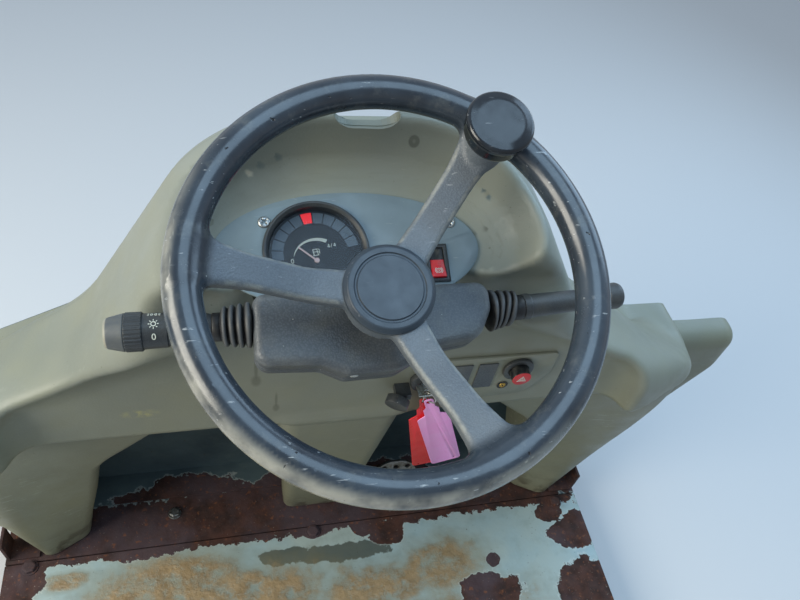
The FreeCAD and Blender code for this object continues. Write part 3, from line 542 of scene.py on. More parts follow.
def spoke_field(across, up, out, angle):
    turn = math.radians(angle)
    along = across * math.cos(turn) + up * math.sin(turn)
    aside = np.abs(up * math.cos(turn) - across * math.sin(turn))
    height, half, thick = (eased(SPOKE, along, i, 9.0) for i in (1, 2, 3))
    bar = rounded_box(aside - half, np.abs(out - height) - thick, SPOKE_EDGE)
    return np.maximum(np.maximum(bar, 8.0 - along), along - RIM_REACH)


def wheel_field(across, up, out):
    reach = np.hypot(across, up)
    wheel = np.hypot(reach - RIM_REACH, out) - RIM_TUBE
    for angle in SPOKE_ANGLES:
        wheel = join(wheel, spoke_field(across, up, out, angle), SPOKE_FLARE)
    boss = meet(reach - HUB_RADIUS, np.abs(out - (HUB_LOW + HUB_HIGH) / 2) - (HUB_HIGH - HUB_LOW) / 2, 3.0)
    wheel = join(wheel, boss, 6.0)
    to_knob = np.hypot(across - KNOB_X, up - KNOB_UP)
    pad = meet(to_knob - PAD_RADIUS, np.maximum(-14.0 - out, out - KNOB_FOOT + 1.6), 2.0)
    wheel = join(wheel, pad, 5.0)
    return cut(wheel, np.maximum(reach - SHAFT_RADIUS, out + 52.0), 1.0)


WHEEL_STEP = 2.7
wheel = moulding("wheel_moulding", wheel_field, (-184, -184, -72), (184, 184, 20), WHEEL_STEP, "wheel", from_wheel)
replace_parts(wheel, "steering_wheel")
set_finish(wheel, "wheel_plastic")
across, up, out = to_wheel(wheel)
off_centre = np.hypot(across, up) - RIM_REACH
add_values(wheel, "rim", np.clip(1.3 - (np.hypot(off_centre, out) - RIM_TUBE) / 7.0, 0, 1))
# A painted highlight along the rim's outer side towards the lower left, where the warm light falls.
lower_left = np.cos(np.arctan2(up, across) - math.radians(235))
add_values(wheel, "underside", np.clip(off_centre / 6 - 0.7, 0, 1) * np.clip(lower_left * 1.6, 0, 1))

# %% [markdown]
# ## Switch housing
# Two moulded half shells round the column carry the stalks. Together they are one rounded block with a
# chin below. A field gives it broad soft corners on every side, as the real one has.

# %% Switch housing
HOUSING_BACK, HOUSING_FACE, HOUSING_SOFT = -137.5, -94.0, 9.0
GAUGE_X, GAUGE_UP, GAUGE_RADIUS = -49.0, 66.0, 51.5
PANEL_OUT = -115.0


def housing_field(across, up, out):
    ends = np.abs(out - (HOUSING_BACK + HOUSING_FACE) / 2) - (HOUSING_FACE - HOUSING_BACK) / 2
    block = meet(loop_distance(HOUSING, across, up), ends, HOUSING_SOFT)
    seam = np.hypot(loop_distance(HOUSING, across, up), out + 117.5) - 0.9
    block = cut(block, seam, 0.6)
    gauge_room = np.maximum(np.hypot(across - GAUGE_X, up - GAUGE_UP) - GAUGE_RADIUS - 0.8, out + 110.0)
    block = cut(block, gauge_room, 1.0)
    return cut(block, np.hypot(across, up) - SHAFT_RADIUS - 5.0, 2.0)


HOUSING_STEP = 1.9
housing = moulding("housing_moulding", housing_field, (-118, -66, -142), (116, 28, -90), HOUSING_STEP,
                   "console", from_wheel)
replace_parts(housing, "switch_housing")
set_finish(housing, "black_plastic")

# %% [markdown]
# ## Turned pieces
# The hub cap, the spinner knob, the stalks' barrels, the gauge's rim and every screw are round. Each is a
# profile of a few rows turned about its own axis, with the profile's corners rounded by true arcs and the
# shading taken from the profile, so that flats stay flat and edges catch a thin light.

# %% Profiles and the lathe


def seat(origin, across, up, out, level=False):
    """A place for a piece: its own three directions, at a point in mm."""
    axes = np.array([across, up, out], float)
    to_row = from_centre if level else from_wheel
    return lambda points: to_row(np.asarray(points, float) @ axes + np.array(origin, float))


def outwards(x, up, out=0.0):
    """A place whose axis runs out along the column."""
    return seat((x, up, out), (1, 0, 0), (0, 1, 0), (0, 0, 1))


def unit(vector):
    return vector / max(np.linalg.norm(vector), 1e-9)


def rounded_line(rows, steps=4):
    """A line through (along, radius, corner radius) rows; each point has the directions of both its sides."""
    spots = [np.array(row[:2], float) for row in rows]
    line = []
    for i, row in enumerate(rows):
        ahead = unit(spots[min(i + 1, len(rows) - 1)] - spots[min(i, len(rows) - 2)])
        behind = unit(spots[max(i, 1)] - spots[max(i, 1) - 1])
        n0, n1 = np.array([-behind[1], behind[0]]), np.array([-ahead[1], ahead[0]])
        turn = math.acos(np.clip(behind @ ahead, -1, 1))
        if row[2] == 0 or turn < 0.02 or i in (0, len(rows) - 1):
            line.append((spots[i], n0, n1))
            continue
        outer = 1.0 if behind[0] * ahead[1] - behind[1] * ahead[0] < 0 else -1.0
        centre = spots[i] - behind * row[2] * math.tan(turn / 2) - outer * n0 * row[2]
        for k in range(steps + 1):
            part = k / steps
            normal = (n0 * math.sin((1 - part) * turn) + n1 * math.sin(part * turn)) / math.sin(turn)
            line.append((centre + outer * normal * row[2], normal, normal))
    return line


def lathe(name, rows, place, body, around=48, flutes=None):
    """A profile turned about its own axis. Flutes are (count, depth, from, to) along the axis."""
    line = rounded_line(rows)
    if flutes:
        count, depth, start, stop = flutes
        around = count * 6
    turn = 2 * math.pi * np.arange(around) / around
    points, first = [], []
    for spot, _, _ in line:
        first.append(len(points))
        if spot[1] < 1e-6:
            points.append((0.0, 0.0, spot[0]))
            continue
        radius = np.full(around, spot[1])
        if flutes and start <= spot[0] <= stop:
            radius = radius - depth * (np.cos(turn * count) > 0.3)
        points += list(zip(radius * np.cos(turn), radius * np.sin(turn), np.full(around, spot[0])))
    faces, normals = [], []
    for i in range(len(line) - 1):
        low_pole, high_pole = line[i][0][1] < 1e-6, line[i + 1][0][1] < 1e-6
        if low_pole and high_pole or np.allclose(line[i][0], line[i + 1][0], atol=1e-6):
            continue
        n0, n1 = line[i][2], line[i + 1][1]
        for k in range(around):
            m = (k + 1) % around
            ring = [(i, k, n0), (i, m, n0), (i + 1, m, n1), (i + 1, k, n1)]
            if low_pole:
                ring = [(i, None, n0), (i + 1, m, n1), (i + 1, k, n1)]
            if high_pole:
                ring = [(i, k, n0), (i, m, n0), (i + 1, None, n1)]
            faces.append([first[s] + (0 if t is None else t) for s, t, _ in ring])
            for _, t, n in ring:
                angle = turn[k] + math.pi / around if t is None else turn[t]
                normals.append((n[1] * math.cos(angle), n[1] * math.sin(angle), n[0]))
    moved = place(np.vstack([np.array(normals) * 1000, np.zeros((1, 3))]))
    smooth = None if flutes else moved[:-1] - moved[-1]
    return make_mesh(name, place(np.array(points)), faces, body, smooth, smooth=not flutes)


def boot(name, start, stop, leaves, wide, narrow, depth, skew, place, body, around=56):
    """A rubber bellows: rounded leaves on its first part, then a plain sleeve.

    With q the share of the way along the leaves, radius = wide + (narrow - wide) q - depth (1 - |sin(pi n q)|^0.5),
    and each ring leans by skew mm across the axis.
    """
    sleeve = start + 0.76 * (stop - start)
    q = np.linspace(0, 1, 16 * leaves + 1)
    radius = wide + (narrow - wide) * q - depth * (1 - np.abs(np.sin(math.pi * leaves * q)) ** 0.5)
    along = start + (sleeve - start) * q
    tail = narrow - 0.9 * depth
    radius = np.append(radius, [tail, tail, tail - 0.5, tail - 1.2])
    along = np.append(along, [sleeve + 0.5, stop - 1.0, stop - 0.3, stop])
    share = (along - start) / (stop - start)
    turn = 2 * math.pi * np.arange(around) / around
    height = along[:, None] + skew * np.cos(turn) * np.sin(math.pi * share)[:, None]
    points = np.stack([radius[:, None] * np.cos(turn), radius[:, None] * np.sin(turn), height], axis=-1).reshape(-1, 3)
    k, rows = np.arange(around), len(along) - 1
    faces = []
    for i in range(rows):
        ring = np.column_stack([k, (k + 1) % around, (k + 1) % around + around, k + around]) + i * around
        faces += ring.tolist()
    caps = [list(range(around - 1, -1, -1)), list(range(rows * around, (rows + 1) * around))]
    piece = make_mesh(name, place(points), faces + caps, body)
    crest = np.append(np.abs(np.sin(math.pi * leaves * q)) ** 0.5, [0.3] * 4)
    add_values(piece, "crest", np.repeat(crest, around))
    return piece


# %% Hub cap, spinner knob and gauge rim
CAP_RADIUS, CAP_LOW, CAP_HIGH, CAP_GROOVE = 40.5, -43.8, -35.0, 30.0
hub_cap = lathe("hub_cap_disc", [
    (CAP_LOW - 8, 0, 0), (CAP_LOW - 8, 30.9, 0), (CAP_LOW, 30.9, 0), (CAP_LOW, CAP_RADIUS - 0.5, 0.4),
    (CAP_HIGH - 4.4, CAP_RADIUS, 2.5), (CAP_HIGH, CAP_RADIUS - 4, 3.0), (CAP_HIGH, CAP_GROOVE + 1.6, 0.5),
    (CAP_HIGH - 1.3, CAP_GROOVE + 0.8, 0.4), (CAP_HIGH - 1.3, CAP_GROOVE - 0.8, 0.4),
    (CAP_HIGH, CAP_GROOVE - 1.6, 0.5), (CAP_HIGH, 0, 0)], outwards(0, 0), "wheel", 96)
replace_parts(hub_cap, "hub_cap")
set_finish(hub_cap, "black_plastic")

knob = lathe("knob_turned", [
    (17.0, 5.05, 0), (0.0, 5.05, 0.4), (0.0, 25.6, 2.0), (4.0, 27.2, 5.0), (14.0, 28.4, 8.0), (17.6, 29.6, 1.2),
    (21.5, 29.2, 4.2), (23.9, 20.0, 16.0), (24.4, 0, 0)],
    outwards(KNOB_X, KNOB_UP, KNOB_FOOT), "knob", 72)
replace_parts(knob, "spinner_knob")
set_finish(knob, "gloss_black")

bezel = lathe("gauge_rim", [
    (PANEL_OUT - 30, 45.5, 0), (PANEL_OUT - 30, 48.2, 0), (PANEL_OUT, 48.2, 0), (PANEL_OUT, GAUGE_RADIUS, 0.3),
    (PANEL_OUT + 4, GAUGE_RADIUS - 0.4, 1.8), (PANEL_OUT + 4, 48.6, 1.2), (PANEL_OUT + 1.0, 45.7, 0.5),
    (PANEL_OUT - 30, 45.5, 0)], outwards(GAUGE_X, GAUGE_UP), "console", 96)
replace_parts(bezel, "gauge_bezel")
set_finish(bezel, "black_plastic")

# %% Stalks
STALK_LEFT = seat((0, STALK_UP, STALK_OUT), (0, 0, 1), (0, 1, 0), (-1, 0, 0))
PIVOT = 111.7
rise_cos, rise_sin = math.cos(math.atan(STALK_RISE)), math.sin(math.atan(STALK_RISE))
STALK_RIGHT = seat((PIVOT - PIVOT * rise_cos, STALK_UP - PIVOT * rise_sin, STALK_OUT),
                   (-rise_sin, rise_cos, 0), (0, 0, 1), (rise_cos, rise_sin, 0))
# Columns: piece, node, slot, place, flutes, profile rows of distance out, radius, corner radius.
STALK_PIECES = [
    ("left_barrel_turned", "left_barrel", "black_plastic", STALK_LEFT, None,
     [(149, 0, 0), (149, 12, 0.5), (156, 14, 2), (186, 14.5, 0.6), (186, 0, 0)]),
    ("left_symbol_band", "left_band", "black_plastic", STALK_LEFT, None,
     [(186, 0, 0), (186, 15.5, 0.6), (207, 16, 0.5), (207, 0, 0)]),
    ("left_knurled_ring", "left_knob", "black_plastic", STALK_LEFT, (30, 0.5, 208.0, 221.0),
     [(207, 0, 0), (207, 16.6, 0), (207.4, 17, 0), (208, 17.5, 0), (221, 17.5, 0), (221.6, 17, 0), (222, 16.6, 0),
      (222, 0, 0)]),
    ("left_end_knob", "left_cap", "beige_plastic", STALK_LEFT, None,
     [(222, 0, 0), (222, 16.8, 0.8), (223, 17, 0.8), (236, 13.8, 2.2), (238.6, 12, 1.2), (239, 0, 0)]),
    ("right_barrel_turned", "right_barrel", "black_plastic", STALK_RIGHT, None,
     [(150, 0, 0), (150, 12.6, 0.8), (157, 13.2, 1.0), (158, 12.0, 0.8), (244, 10.3, 0.5), (244, 0, 0)]),
    ("right_end_knob", "right_knob", "black_plastic", STALK_RIGHT, None,
     [(244, 0, 0), (244, 13.6, 1.2), (256, 13.8, 3.0), (261, 12.0, 3.5), (261, 0, 0)]),
]
for name, node, slot_name, place, flutes, rows in STALK_PIECES:
    piece = lathe(name, rows, place, "console", 40, flutes)
    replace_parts(piece, node)
    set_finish(piece, slot_name)

left_boot = boot("left_bellows", 113.9, 149.0, 4, 21.6, 18.0, 5.5, 2.0, STALK_LEFT, "console")
right_boot = boot("right_bellows", 113.1, 150.0, 4, 21.2, 17.0, 5.0, 5.0, STALK_RIGHT, "console")
for piece, node in ((left_boot, "left_boot"), (right_boot, "right_boot")):
    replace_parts(piece, node)
    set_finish(piece, "rubber")

# %% [markdown]
# ## Plates and small pressed pieces
# The deck plates, brackets, panel, rocker, tags and pedal have the right shape already. What they lack is a
# soft edge, so each is a copy of its own solid, cleaned of inner triangle edges and given a small bevel.

# %% Softened plates


def soften(node, width, body="console", angle=30.0, segments=2, move=None):
    """A copy of a solid's mesh whose edges are rounded by width mm; move may shift its points first."""
    source = frame["nodes"][node]
    mesh = source.data.copy()
    mesh.transform(source.matrix_world)
    shape = bmesh.new()
    shape.from_mesh(mesh)
    bmesh.ops.remove_doubles(shape, verts=shape.verts, dist=1e-6)
    for point in shape.verts if move else ():
        point.co = move(point.co)
    bmesh.ops.dissolve_limit(shape, angle_limit=math.radians(1.0), verts=shape.verts, edges=shape.edges)
    shape.to_mesh(mesh)
    shape.free()
    mesh.materials.clear()
    mesh.polygons.foreach_set("use_smooth", [True] * len(mesh.polygons))
    piece = bpy.data.objects.new(node + "_soft", mesh)
    bpy.context.scene.collection.objects.link(piece)
    bevel = piece.modifiers.new("edges", "BEVEL")
    bevel.width, bevel.segments, bevel.limit_method = width / 1000, segments, "ANGLE"
    bevel.angle_limit, bevel.harden_normals = math.radians(angle), True
    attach(piece, body)
    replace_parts(piece, node)
    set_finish(piece, slot_of[node])
    return piece


slot_of = {part["node"]: part["material_slot"] for part in frame["record"]["subparts"]}
# Columns: node, edge radius in mm.
SOFT_EDGES = [
    ("footplate", 0.8), ("front_plate", 0.8), ("bracket_left", 0.7), ("bracket_right", 0.7), ("pedal_plate", 0.6),
    ("pedal_block", 0.8), ("instrument_panel", 0.7), ("rocker_frame", 0.6), ("rocker_button", 0.9),
    ("switch_plate", 1.0), ("switch_blank_outer", 0.8), ("switch_blank_inner", 0.8), ("hazard_bezel", 1.2),
    ("hazard_button", 0.9), ("ignition_switch", 0.8), ("ignition_cover", 1.0), ("ignition_key", 0.35),
    ("tag_front", 0.25), ("tag_back", 0.25), ("column_bracket", 0.6), ("steering_valve", 2.5),
]
soft = {node: soften(node, width) for node, width in SOFT_EDGES}


def drafted(point):
    """The pan pressed in the bulkhead has sloping shoulders: its front face is lower at the sides."""
    part = min(max((abs(point.x) - 0.12) / 0.16, 0.0), 1.0)
    if point.y > 0.235 and point.z > 0.45:
        point.z -= 0.055 * part
    return point


soft["bulkhead"] = soften("bulkhead", 1.2, move=drafted)
print("softened", len(soft), "nodes")

# %% [markdown]
# ## Materials
# Each material is a few layers over one base colour: slow changes of tone, the grain of its surface, wear
# along edges that bend outwards, and dirt with painted shade where they bend inwards. Patterns read Object
# coordinates, which are the row's own metres, so a stain can be placed by a real position and a grain by
# its size in mm.

# %% Material helpers


def tint(code):
    """An sRGB hex colour as the linear one that a shader reads."""
    part = np.array([int(code[i:i + 2], 16) / 255 for i in (1, 3, 5)])
    linear = np.where(part <= 0.04045, part / 12.92, ((part + 0.055) / 1.055) ** 2.4)
    return (*linear.tolist(), 1.0)


def material(name, colour, rough, metal=0.0):
    """A new material with its node tree and shader, and one base colour and roughness."""
    made = bpy.data.materials.new(name)
    made.use_nodes = True
    tree = made.node_tree
    shader = tree.nodes["Principled BSDF"]
    shader.inputs["Base Color"].default_value = tint(colour)
    shader.inputs["Roughness"].default_value = rough
    shader.inputs["Metallic"].default_value = metal
    return made, tree, shader


def add(tree, kind, **values):
    """A node: lower-case values set its properties, others its inputs, where in0 is the first one."""
    made = tree.nodes.new("ShaderNode" + kind)
    for key, value in values.items():
        if key[:2] != "in" and key.islower():
            setattr(made, key, value)
            continue
        socket = made.inputs[int(key[2:])] if key[:2] == "in" else made.inputs[key.replace("_", " ")]
        if isinstance(value, bpy.types.NodeSocket):
            tree.links.new(value, socket)
        else:
            socket.default_value = value
    return made


def spot_of(tree):
    return add(tree, "TexCoord").outputs["Object"]


def noise(tree, size, detail=3.0, vector=None, rough=0.55):
    """Soft noise whose blobs are about size mm."""
    where = vector or spot_of(tree)
    return add(tree, "TexNoise", Vector=where, Scale=1000 / size, Detail=detail, Roughness=rough).outputs[0]


def span(tree, value, low, high, to_low=0.0, to_high=1.0):
    return add(tree, "MapRange", Value=value, From_Min=low, From_Max=high, To_Min=to_low, To_Max=to_high).outputs[0]


def calc(tree, operation, a, b=0.0):
    return add(tree, "Math", operation=operation, in0=a, in1=b).outputs[0]


def mixed(tree, part, a, b):
    """Colour a where part is 0 and b where it is 1; either may be a hex code."""
    a, b = (tint(c) if isinstance(c, str) else c for c in (a, b))
    return add(tree, "Mix", data_type="RGBA", in0=part, in6=a, in7=b).outputs[2]


def relief(tree, height, depth, under=None):
    """A bump of depth mm, on top of another if one is given."""
    bump = add(tree, "Bump", Height=height, Distance=depth / 1000, Strength=1.0)
    if under is not None:
        tree.links.new(under, bump.inputs["Normal"])
    return bump.outputs[0]


def stretched(tree, angles, scales):
    """Coordinates turned by three angles in degrees and scaled, for scratches that run one way."""
    turn = tuple(math.radians(a) for a in angles)
    return add(tree, "Mapping", Vector=spot_of(tree), Rotation=turn, Scale=scales).outputs[0]


def attribute(tree, name):
    return add(tree, "Attribute", attribute_name=name).outputs["Fac"]


def axis_of(tree, axis):
    return add(tree, "SeparateXYZ", Vector=spot_of(tree)).outputs[axis]


def blot(tree, centre, half):
    """1 at a place in mm, falling to 0 at an oval's edge and below 0 beyond it."""
    scale = tuple(1000 / h for h in half)
    shift = tuple(-c / h for c, h in zip(centre, half))
    moved = add(tree, "Mapping", Vector=spot_of(tree), Location=shift, Scale=scale).outputs[0]
    return calc(tree, "SUBTRACT", 1.0, add(tree, "VectorMath", operation="LENGTH", in0=moved).outputs["Value"])


def blots(tree, rows, ragged, size):
    """Several ovals on the deck, (x, y, half x, half y) in mm, with a ragged outline."""
    value = None
    for x, y, half_x, half_y in rows:
        one = blot(tree, (x, y, 66), (half_x, half_y, 60))
        value = one if value is None else calc(tree, "MAXIMUM", value, one)
    rough = calc(tree, "MULTIPLY", calc(tree, "SUBTRACT", noise(tree, size, 6.0, rough=0.62), 0.5), ragged)
    return calc(tree, "ADD", value, rough)


def finish(tree, shader, colour=None, rough=None, normal=None):
    for key, value in (("Base Color", colour), ("Roughness", rough), ("Normal", normal)):
        if value is not None:
            tree.links.new(value, shader.inputs[key])


# %% Plastics


def rotomoulded_polyethylene():
    """Olive-grey polyethylene, rotomoulded: satin, darker and yellower towards the bottom, scuffed, with dust that
    turns it yellow, dirt and painted shade in creases, and a painted shade on the bowl's wall.
    """
    made, tree, shader = material("rotomoulded_polyethylene", "#929689", 0.46)
    colour = mixed(tree, span(tree, noise(tree, 260), 0.35, 0.65), "#84897f", "#94988d")
    # Darker and yellower towards the bottom.
    low = span(tree, axis_of(tree, 2), 0.28, 0.86, 1.0, 0.0)
    colour = mixed(tree, calc(tree, "MULTIPLY", low, 0.62), colour, "#7f7c5d")
    dusty = span(tree, noise(tree, 75, 5.0), 0.44, 0.76)
    colour = mixed(tree, calc(tree, "MULTIPLY", dusty, 0.26), colour, "#9d9a78")
    bend = attribute(tree, "bend")
    # Where the surface bends inwards it is darker: dirt in the creases, and painted shade.
    hollow = span(tree, bend, -0.16, -0.70)
    colour = mixed(tree, calc(tree, "MULTIPLY", hollow, 0.55), colour, "#5f5d4b")
    worn = calc(tree, "MULTIPLY", span(tree, bend, 0.34, 0.80), span(tree, noise(tree, 22, 4.0), 0.30, 0.60))
    colour = mixed(tree, calc(tree, "MULTIPLY", worn, 0.6), colour, "#c3c5b2")
    # Painted shade on the bowl's wall, darkest on the left.
    colour = mixed(tree, calc(tree, "MULTIPLY", attribute(tree, "dull"), 0.5), colour, "#4f564f")
    strokes = noise(tree, 6, 4.0, stretched(tree, (0, 34, 28), (0.16, 1.0, 1.3)), 0.7)
    where = span(tree, noise(tree, 95, 3.0), 0.50, 0.66)
    where = calc(tree, "MULTIPLY", where, span(tree, axis_of(tree, 2), 0.40, 0.62, 1.0, 0.12))
    scuff = calc(tree, "MULTIPLY", span(tree, strokes, 0.585, 0.66), where)
    colour = mixed(tree, calc(tree, "MULTIPLY", scuff, 0.6), colour, "#c9cab8")
    specks = span(tree, noise(tree, 4, 2.0), 0.735, 0.78)
    colour = mixed(tree, calc(tree, "MULTIPLY", specks, 0.5), colour, "#55523f")
    foot = calc(tree, "MULTIPLY", span(tree, axis_of(tree, 2), 0.17, 0.07), span(tree, noise(tree, 30, 6.0), 0.48, 0.6))
    colour = mixed(tree, calc(tree, "MULTIPLY", foot, 0.8), colour, "#4d4536")
    for centre, half in (((-109, 72, 648), (7, 30, 13)), ((-109, 72, 672), (2.5, 30, 24)),
                         ((-86, 72, 588), (5, 30, 10)), ((-86, 72, 606), (2.0, 30, 18))):
        drip = span(tree, blot(tree, centre, half), 0.0, 0.5)
        colour = mixed(tree, calc(tree, "MULTIPLY", drip, 0.55), colour, "#575746")
    smudge = span(tree, blot(tree, (-240, 72, 600), (24, 40, 10)), 0.0, 0.9)
    colour = mixed(tree, calc(tree, "MULTIPLY", smudge, span(tree, noise(tree, 9, 3.0), 0.42, 0.6)), colour, "#b3ac76")
    ring = calc(tree, "ABSOLUTE", calc(tree, "SUBTRACT", blot(tree, (51, 170, 914), (7, 20, 9)), 0.25))
    colour = mixed(tree, span(tree, ring, 0.28, 0.12, 0.0, 0.7), colour, "#4e5148")
    seam = calc(tree, "ABSOLUTE", calc(tree, "SUBTRACT", axis_of(tree, 1), 0.1655))
    seam = calc(tree, "MULTIPLY", span(tree, seam, 0.0011, 0.0004), attribute(tree, "outer"))
    colour = mixed(tree, calc(tree, "MULTIPLY", seam, 0.55), colour, "#5f6356")
    rough = span(tree, noise(tree, 38, 4.0), 0.3, 0.7, 0.36, 0.55)
    skin = relief(tree, noise(tree, 2.6, 3.0), 0.18)
    skin = relief(tree, noise(tree, 60, 2.0), 0.30, skin)
    skin = relief(tree, calc(tree, "ADD", scuff, calc(tree, "MULTIPLY", seam, -2.0)), 0.12, skin)
    finish(tree, shader, colour, rough, skin)
    return made


def grained_plastic(name, base, light, grain, depth, rough, dust=0.25, worn="#8f9190"):
    """Injection-moulded plastic with a leather grain; edges are rubbed lighter."""
    made, tree, shader = material(name, base, rough)
    cells = add(tree, "TexVoronoi", Vector=spot_of(tree), Scale=1000 / grain, Randomness=1.0).outputs["Distance"]
    tone = span(tree, cells, 0.15, 0.65)
    colour = mixed(tree, calc(tree, "MULTIPLY", tone, 0.7), light, base)
    cloud = span(tree, noise(tree, 35, 5.0), 0.42, 0.72)
    colour = mixed(tree, calc(tree, "MULTIPLY", cloud, dust), colour, "#8a8674")
    bend = attribute(tree, "bend")
    edge = calc(tree, "MULTIPLY", span(tree, bend, 0.26, 0.75), span(tree, noise(tree, 9, 4.0), 0.34, 0.62))
    colour = mixed(tree, calc(tree, "MULTIPLY", edge, 0.8), colour, worn)
    flecks = span(tree, noise(tree, 3.2, 1.0), 0.80, 0.82)
    colour = mixed(tree, flecks, colour, "#c9c9c2")
    gloss = span(tree, noise(tree, 28, 4.0), 0.3, 0.7, rough - 0.07, rough + 0.09)
    finish(tree, shader, colour, gloss, relief(tree, cells, depth))
    return made


def handled_wheel():
    """Wheel skin: black and polished by hands on the rim, with a painted bluish sky sheen; matt grey grain on the
    spokes, pale worn edges, and a painted highlight along the rim's lower left side.
    """
    made, tree, shader = material("handled_wheel_skin", "#24272a", 0.3)
    shader.inputs["Specular IOR Level"].default_value = 0.65
    rim = attribute(tree, "rim")
    cells = add(tree, "TexVoronoi", Vector=spot_of(tree), Scale=1000 / 1.5, Randomness=1.0).outputs["Distance"]
    spoke = mixed(tree, span(tree, cells, 0.12, 0.75), "#687077", "#5a6269")
    spoke = mixed(tree, calc(tree, "MULTIPLY", span(tree, noise(tree, 60, 4.0), 0.40, 0.70), 0.4), spoke, "#7b7f7f")
    # The rim's black has a bluish tint, which is a painted sheen of the sky.
    rim_black_and_painted_sheen = mixed(tree, span(tree, noise(tree, 60, 4.0), 0.38, 0.66), "#232a32", "#37414a")
    dust = calc(tree, "MULTIPLY", span(tree, noise(tree, 17, 6.0, rough=0.7), 0.54, 0.78), 0.30)
    rim_black_and_painted_sheen = mixed(tree, dust, rim_black_and_painted_sheen, "#7b7c74")
    colour = mixed(tree, rim, spoke, rim_black_and_painted_sheen)
    bend = attribute(tree, "bend")
    edge = calc(tree, "MULTIPLY", span(tree, bend, 0.42, 0.72), span(tree, noise(tree, 12, 4.0), 0.30, 0.55))
    colour = mixed(tree, calc(tree, "MULTIPLY", edge, 0.6), colour, "#aeada1")
    # Painted highlight along the rim's lower left side.
    side = calc(tree, "MULTIPLY", attribute(tree, "underside"), span(tree, noise(tree, 45, 4.0), 0.36, 0.58))
    colour = mixed(tree, calc(tree, "MULTIPLY", side, 0.8), colour, "#b3b1a4")
    fine = noise(tree, 3.0, 3.0, stretched(tree, (20, 30, 55), (0.14, 1.0, 1.0)), 0.6)
    marks = calc(tree, "MULTIPLY", span(tree, fine, 0.655, 0.70), span(tree, noise(tree, 26, 2.0), 0.45, 0.6))
    colour = mixed(tree, calc(tree, "MULTIPLY", marks, 0.7), colour, "#b9bcbb")
    nick = calc(tree, "MULTIPLY", span(tree, noise(tree, 8, 2.0), 0.735, 0.77), rim)
    colour = mixed(tree, nick, colour, "#101214")
    rough = mixed(tree, rim, (0.46, 0.46, 0.46, 1), (0.21, 0.21, 0.21, 1))
    rough = calc(tree, "ADD", rough, span(tree, noise(tree, 14, 5.0), 0.35, 0.75, -0.04, 0.10))
    grain = calc(tree, "MULTIPLY", cells, span(tree, rim, 0.0, 1.0, 1.0, 0.05))
    skin = relief(tree, grain, 0.24)
    skin = relief(tree, calc(tree, "MULTIPLY", nick, -1.0), 0.7, skin)
    finish(tree, shader, colour, rough, relief(tree, noise(tree, 26, 2.0), 0.12, skin))
    return made


def smooth_plastic(name, base, rough, other, size=20.0, share=0.35, mark="#b9bcbd", marks=0.5):
    """Smooth moulded plastic: two close tones, fine one-way scratches and a film of dust."""
    made, tree, shader = material(name, base, rough)
    colour = mixed(tree, calc(tree, "MULTIPLY", span(tree, noise(tree, size, 5.0), 0.42, 0.7), share), base, other)
    fine = noise(tree, 2.2, 3.0, stretched(tree, (35, 10, 48), (0.10, 1.0, 1.0)), 0.6)
    lines = calc(tree, "MULTIPLY", span(tree, fine, 0.66, 0.71), span(tree, noise(tree, 19, 2.0), 0.45, 0.6))
    colour = mixed(tree, calc(tree, "MULTIPLY", lines, marks), colour, mark)
    gloss = span(tree, noise(tree, 12, 4.0), 0.3, 0.75, rough - 0.05, rough + 0.12)
    finish(tree, shader, colour, gloss, relief(tree, noise(tree, 3.0, 3.0), 0.04))
    return made


def two_tone(name, side, face, axis, start, stop, rough=0.45):
    """Moulded plastic whose end face, beyond a plane across one axis, has another colour."""
    made, tree, shader = material(name, side, rough)
    tone = mixed(tree, span(tree, axis_of(tree, axis), start, stop), side, face)
    tone = mixed(tree, calc(tree, "MULTIPLY", span(tree, noise(tree, 7, 5.0), 0.45, 0.7), 0.35), tone, "#77756a")
    finish(tree, shader, tone, span(tree, noise(tree, 9, 4.0), 0.3, 0.75, rough - 0.06, rough + 0.12),
           relief(tree, noise(tree, 2.0, 3.0), 0.05))
    return made


def ribbed_rubber():
    """Rubber of the bellows: black in the gaps, greyed along the leaves' edges."""
    made, tree, shader = material("greyed_rubber", "#1c1c1d", 0.5)
    crest = calc(tree, "MULTIPLY", span(tree, attribute(tree, "crest"), 0.72, 1.0), 0.9)
    tone = mixed(tree, crest, "#161618", "#5d6062")
    tone = mixed(tree, calc(tree, "MULTIPLY", span(tree, noise(tree, 8, 5.0), 0.45, 0.7), 0.3), tone, "#5a574c")
    finish(tree, shader, tone, span(tree, noise(tree, 6, 4.0), 0.3, 0.7, 0.42, 0.62))
    return made


def lens_plastic():
    """Clear acrylic gauge lens, faintly hazed."""
    made, tree, shader = material("clear_acrylic", "#1a2229", 0.1)
    shader.inputs["Alpha"].default_value = 0.16
    rough = span(tree, noise(tree, 9, 4.0), 0.3, 0.7, 0.06, 0.2)
    finish(tree, shader, None, rough)
    return made


# %% Metals and paint


def rust_colour(tree):
    """Scaled rust: dark red-brown with blackened hollows, purple film and a few orange grains."""
    colour = mixed(tree, span(tree, noise(tree, 26, 6.0), 0.36, 0.64), "#2e1c17", "#4e3026")
    colour = mixed(tree, calc(tree, "MULTIPLY", span(tree, noise(tree, 90, 5.0), 0.44, 0.62), 0.8), colour, "#4d3f44")
    colour = mixed(tree, calc(tree, "MULTIPLY", span(tree, noise(tree, 9, 4.0), 0.60, 0.72), 0.6), colour, "#87512f")
    return mixed(tree, calc(tree, "MULTIPLY", span(tree, noise(tree, 3.2, 2.0), 0.70, 0.76), 0.6), colour, "#a79a8c")


def rusted_steel():
    """Bare steel plate, rusted for years: matt and scaly."""
    made, tree, shader = material("scaled_rust", "#45291f", 0.85)
    scale = relief(tree, noise(tree, 8, 6.0, rough=0.65), 1.1)
    finish(tree, shader, rust_colour(tree), span(tree, noise(tree, 12), 0.3, 0.7, 0.62, 0.9), scale)
    return made


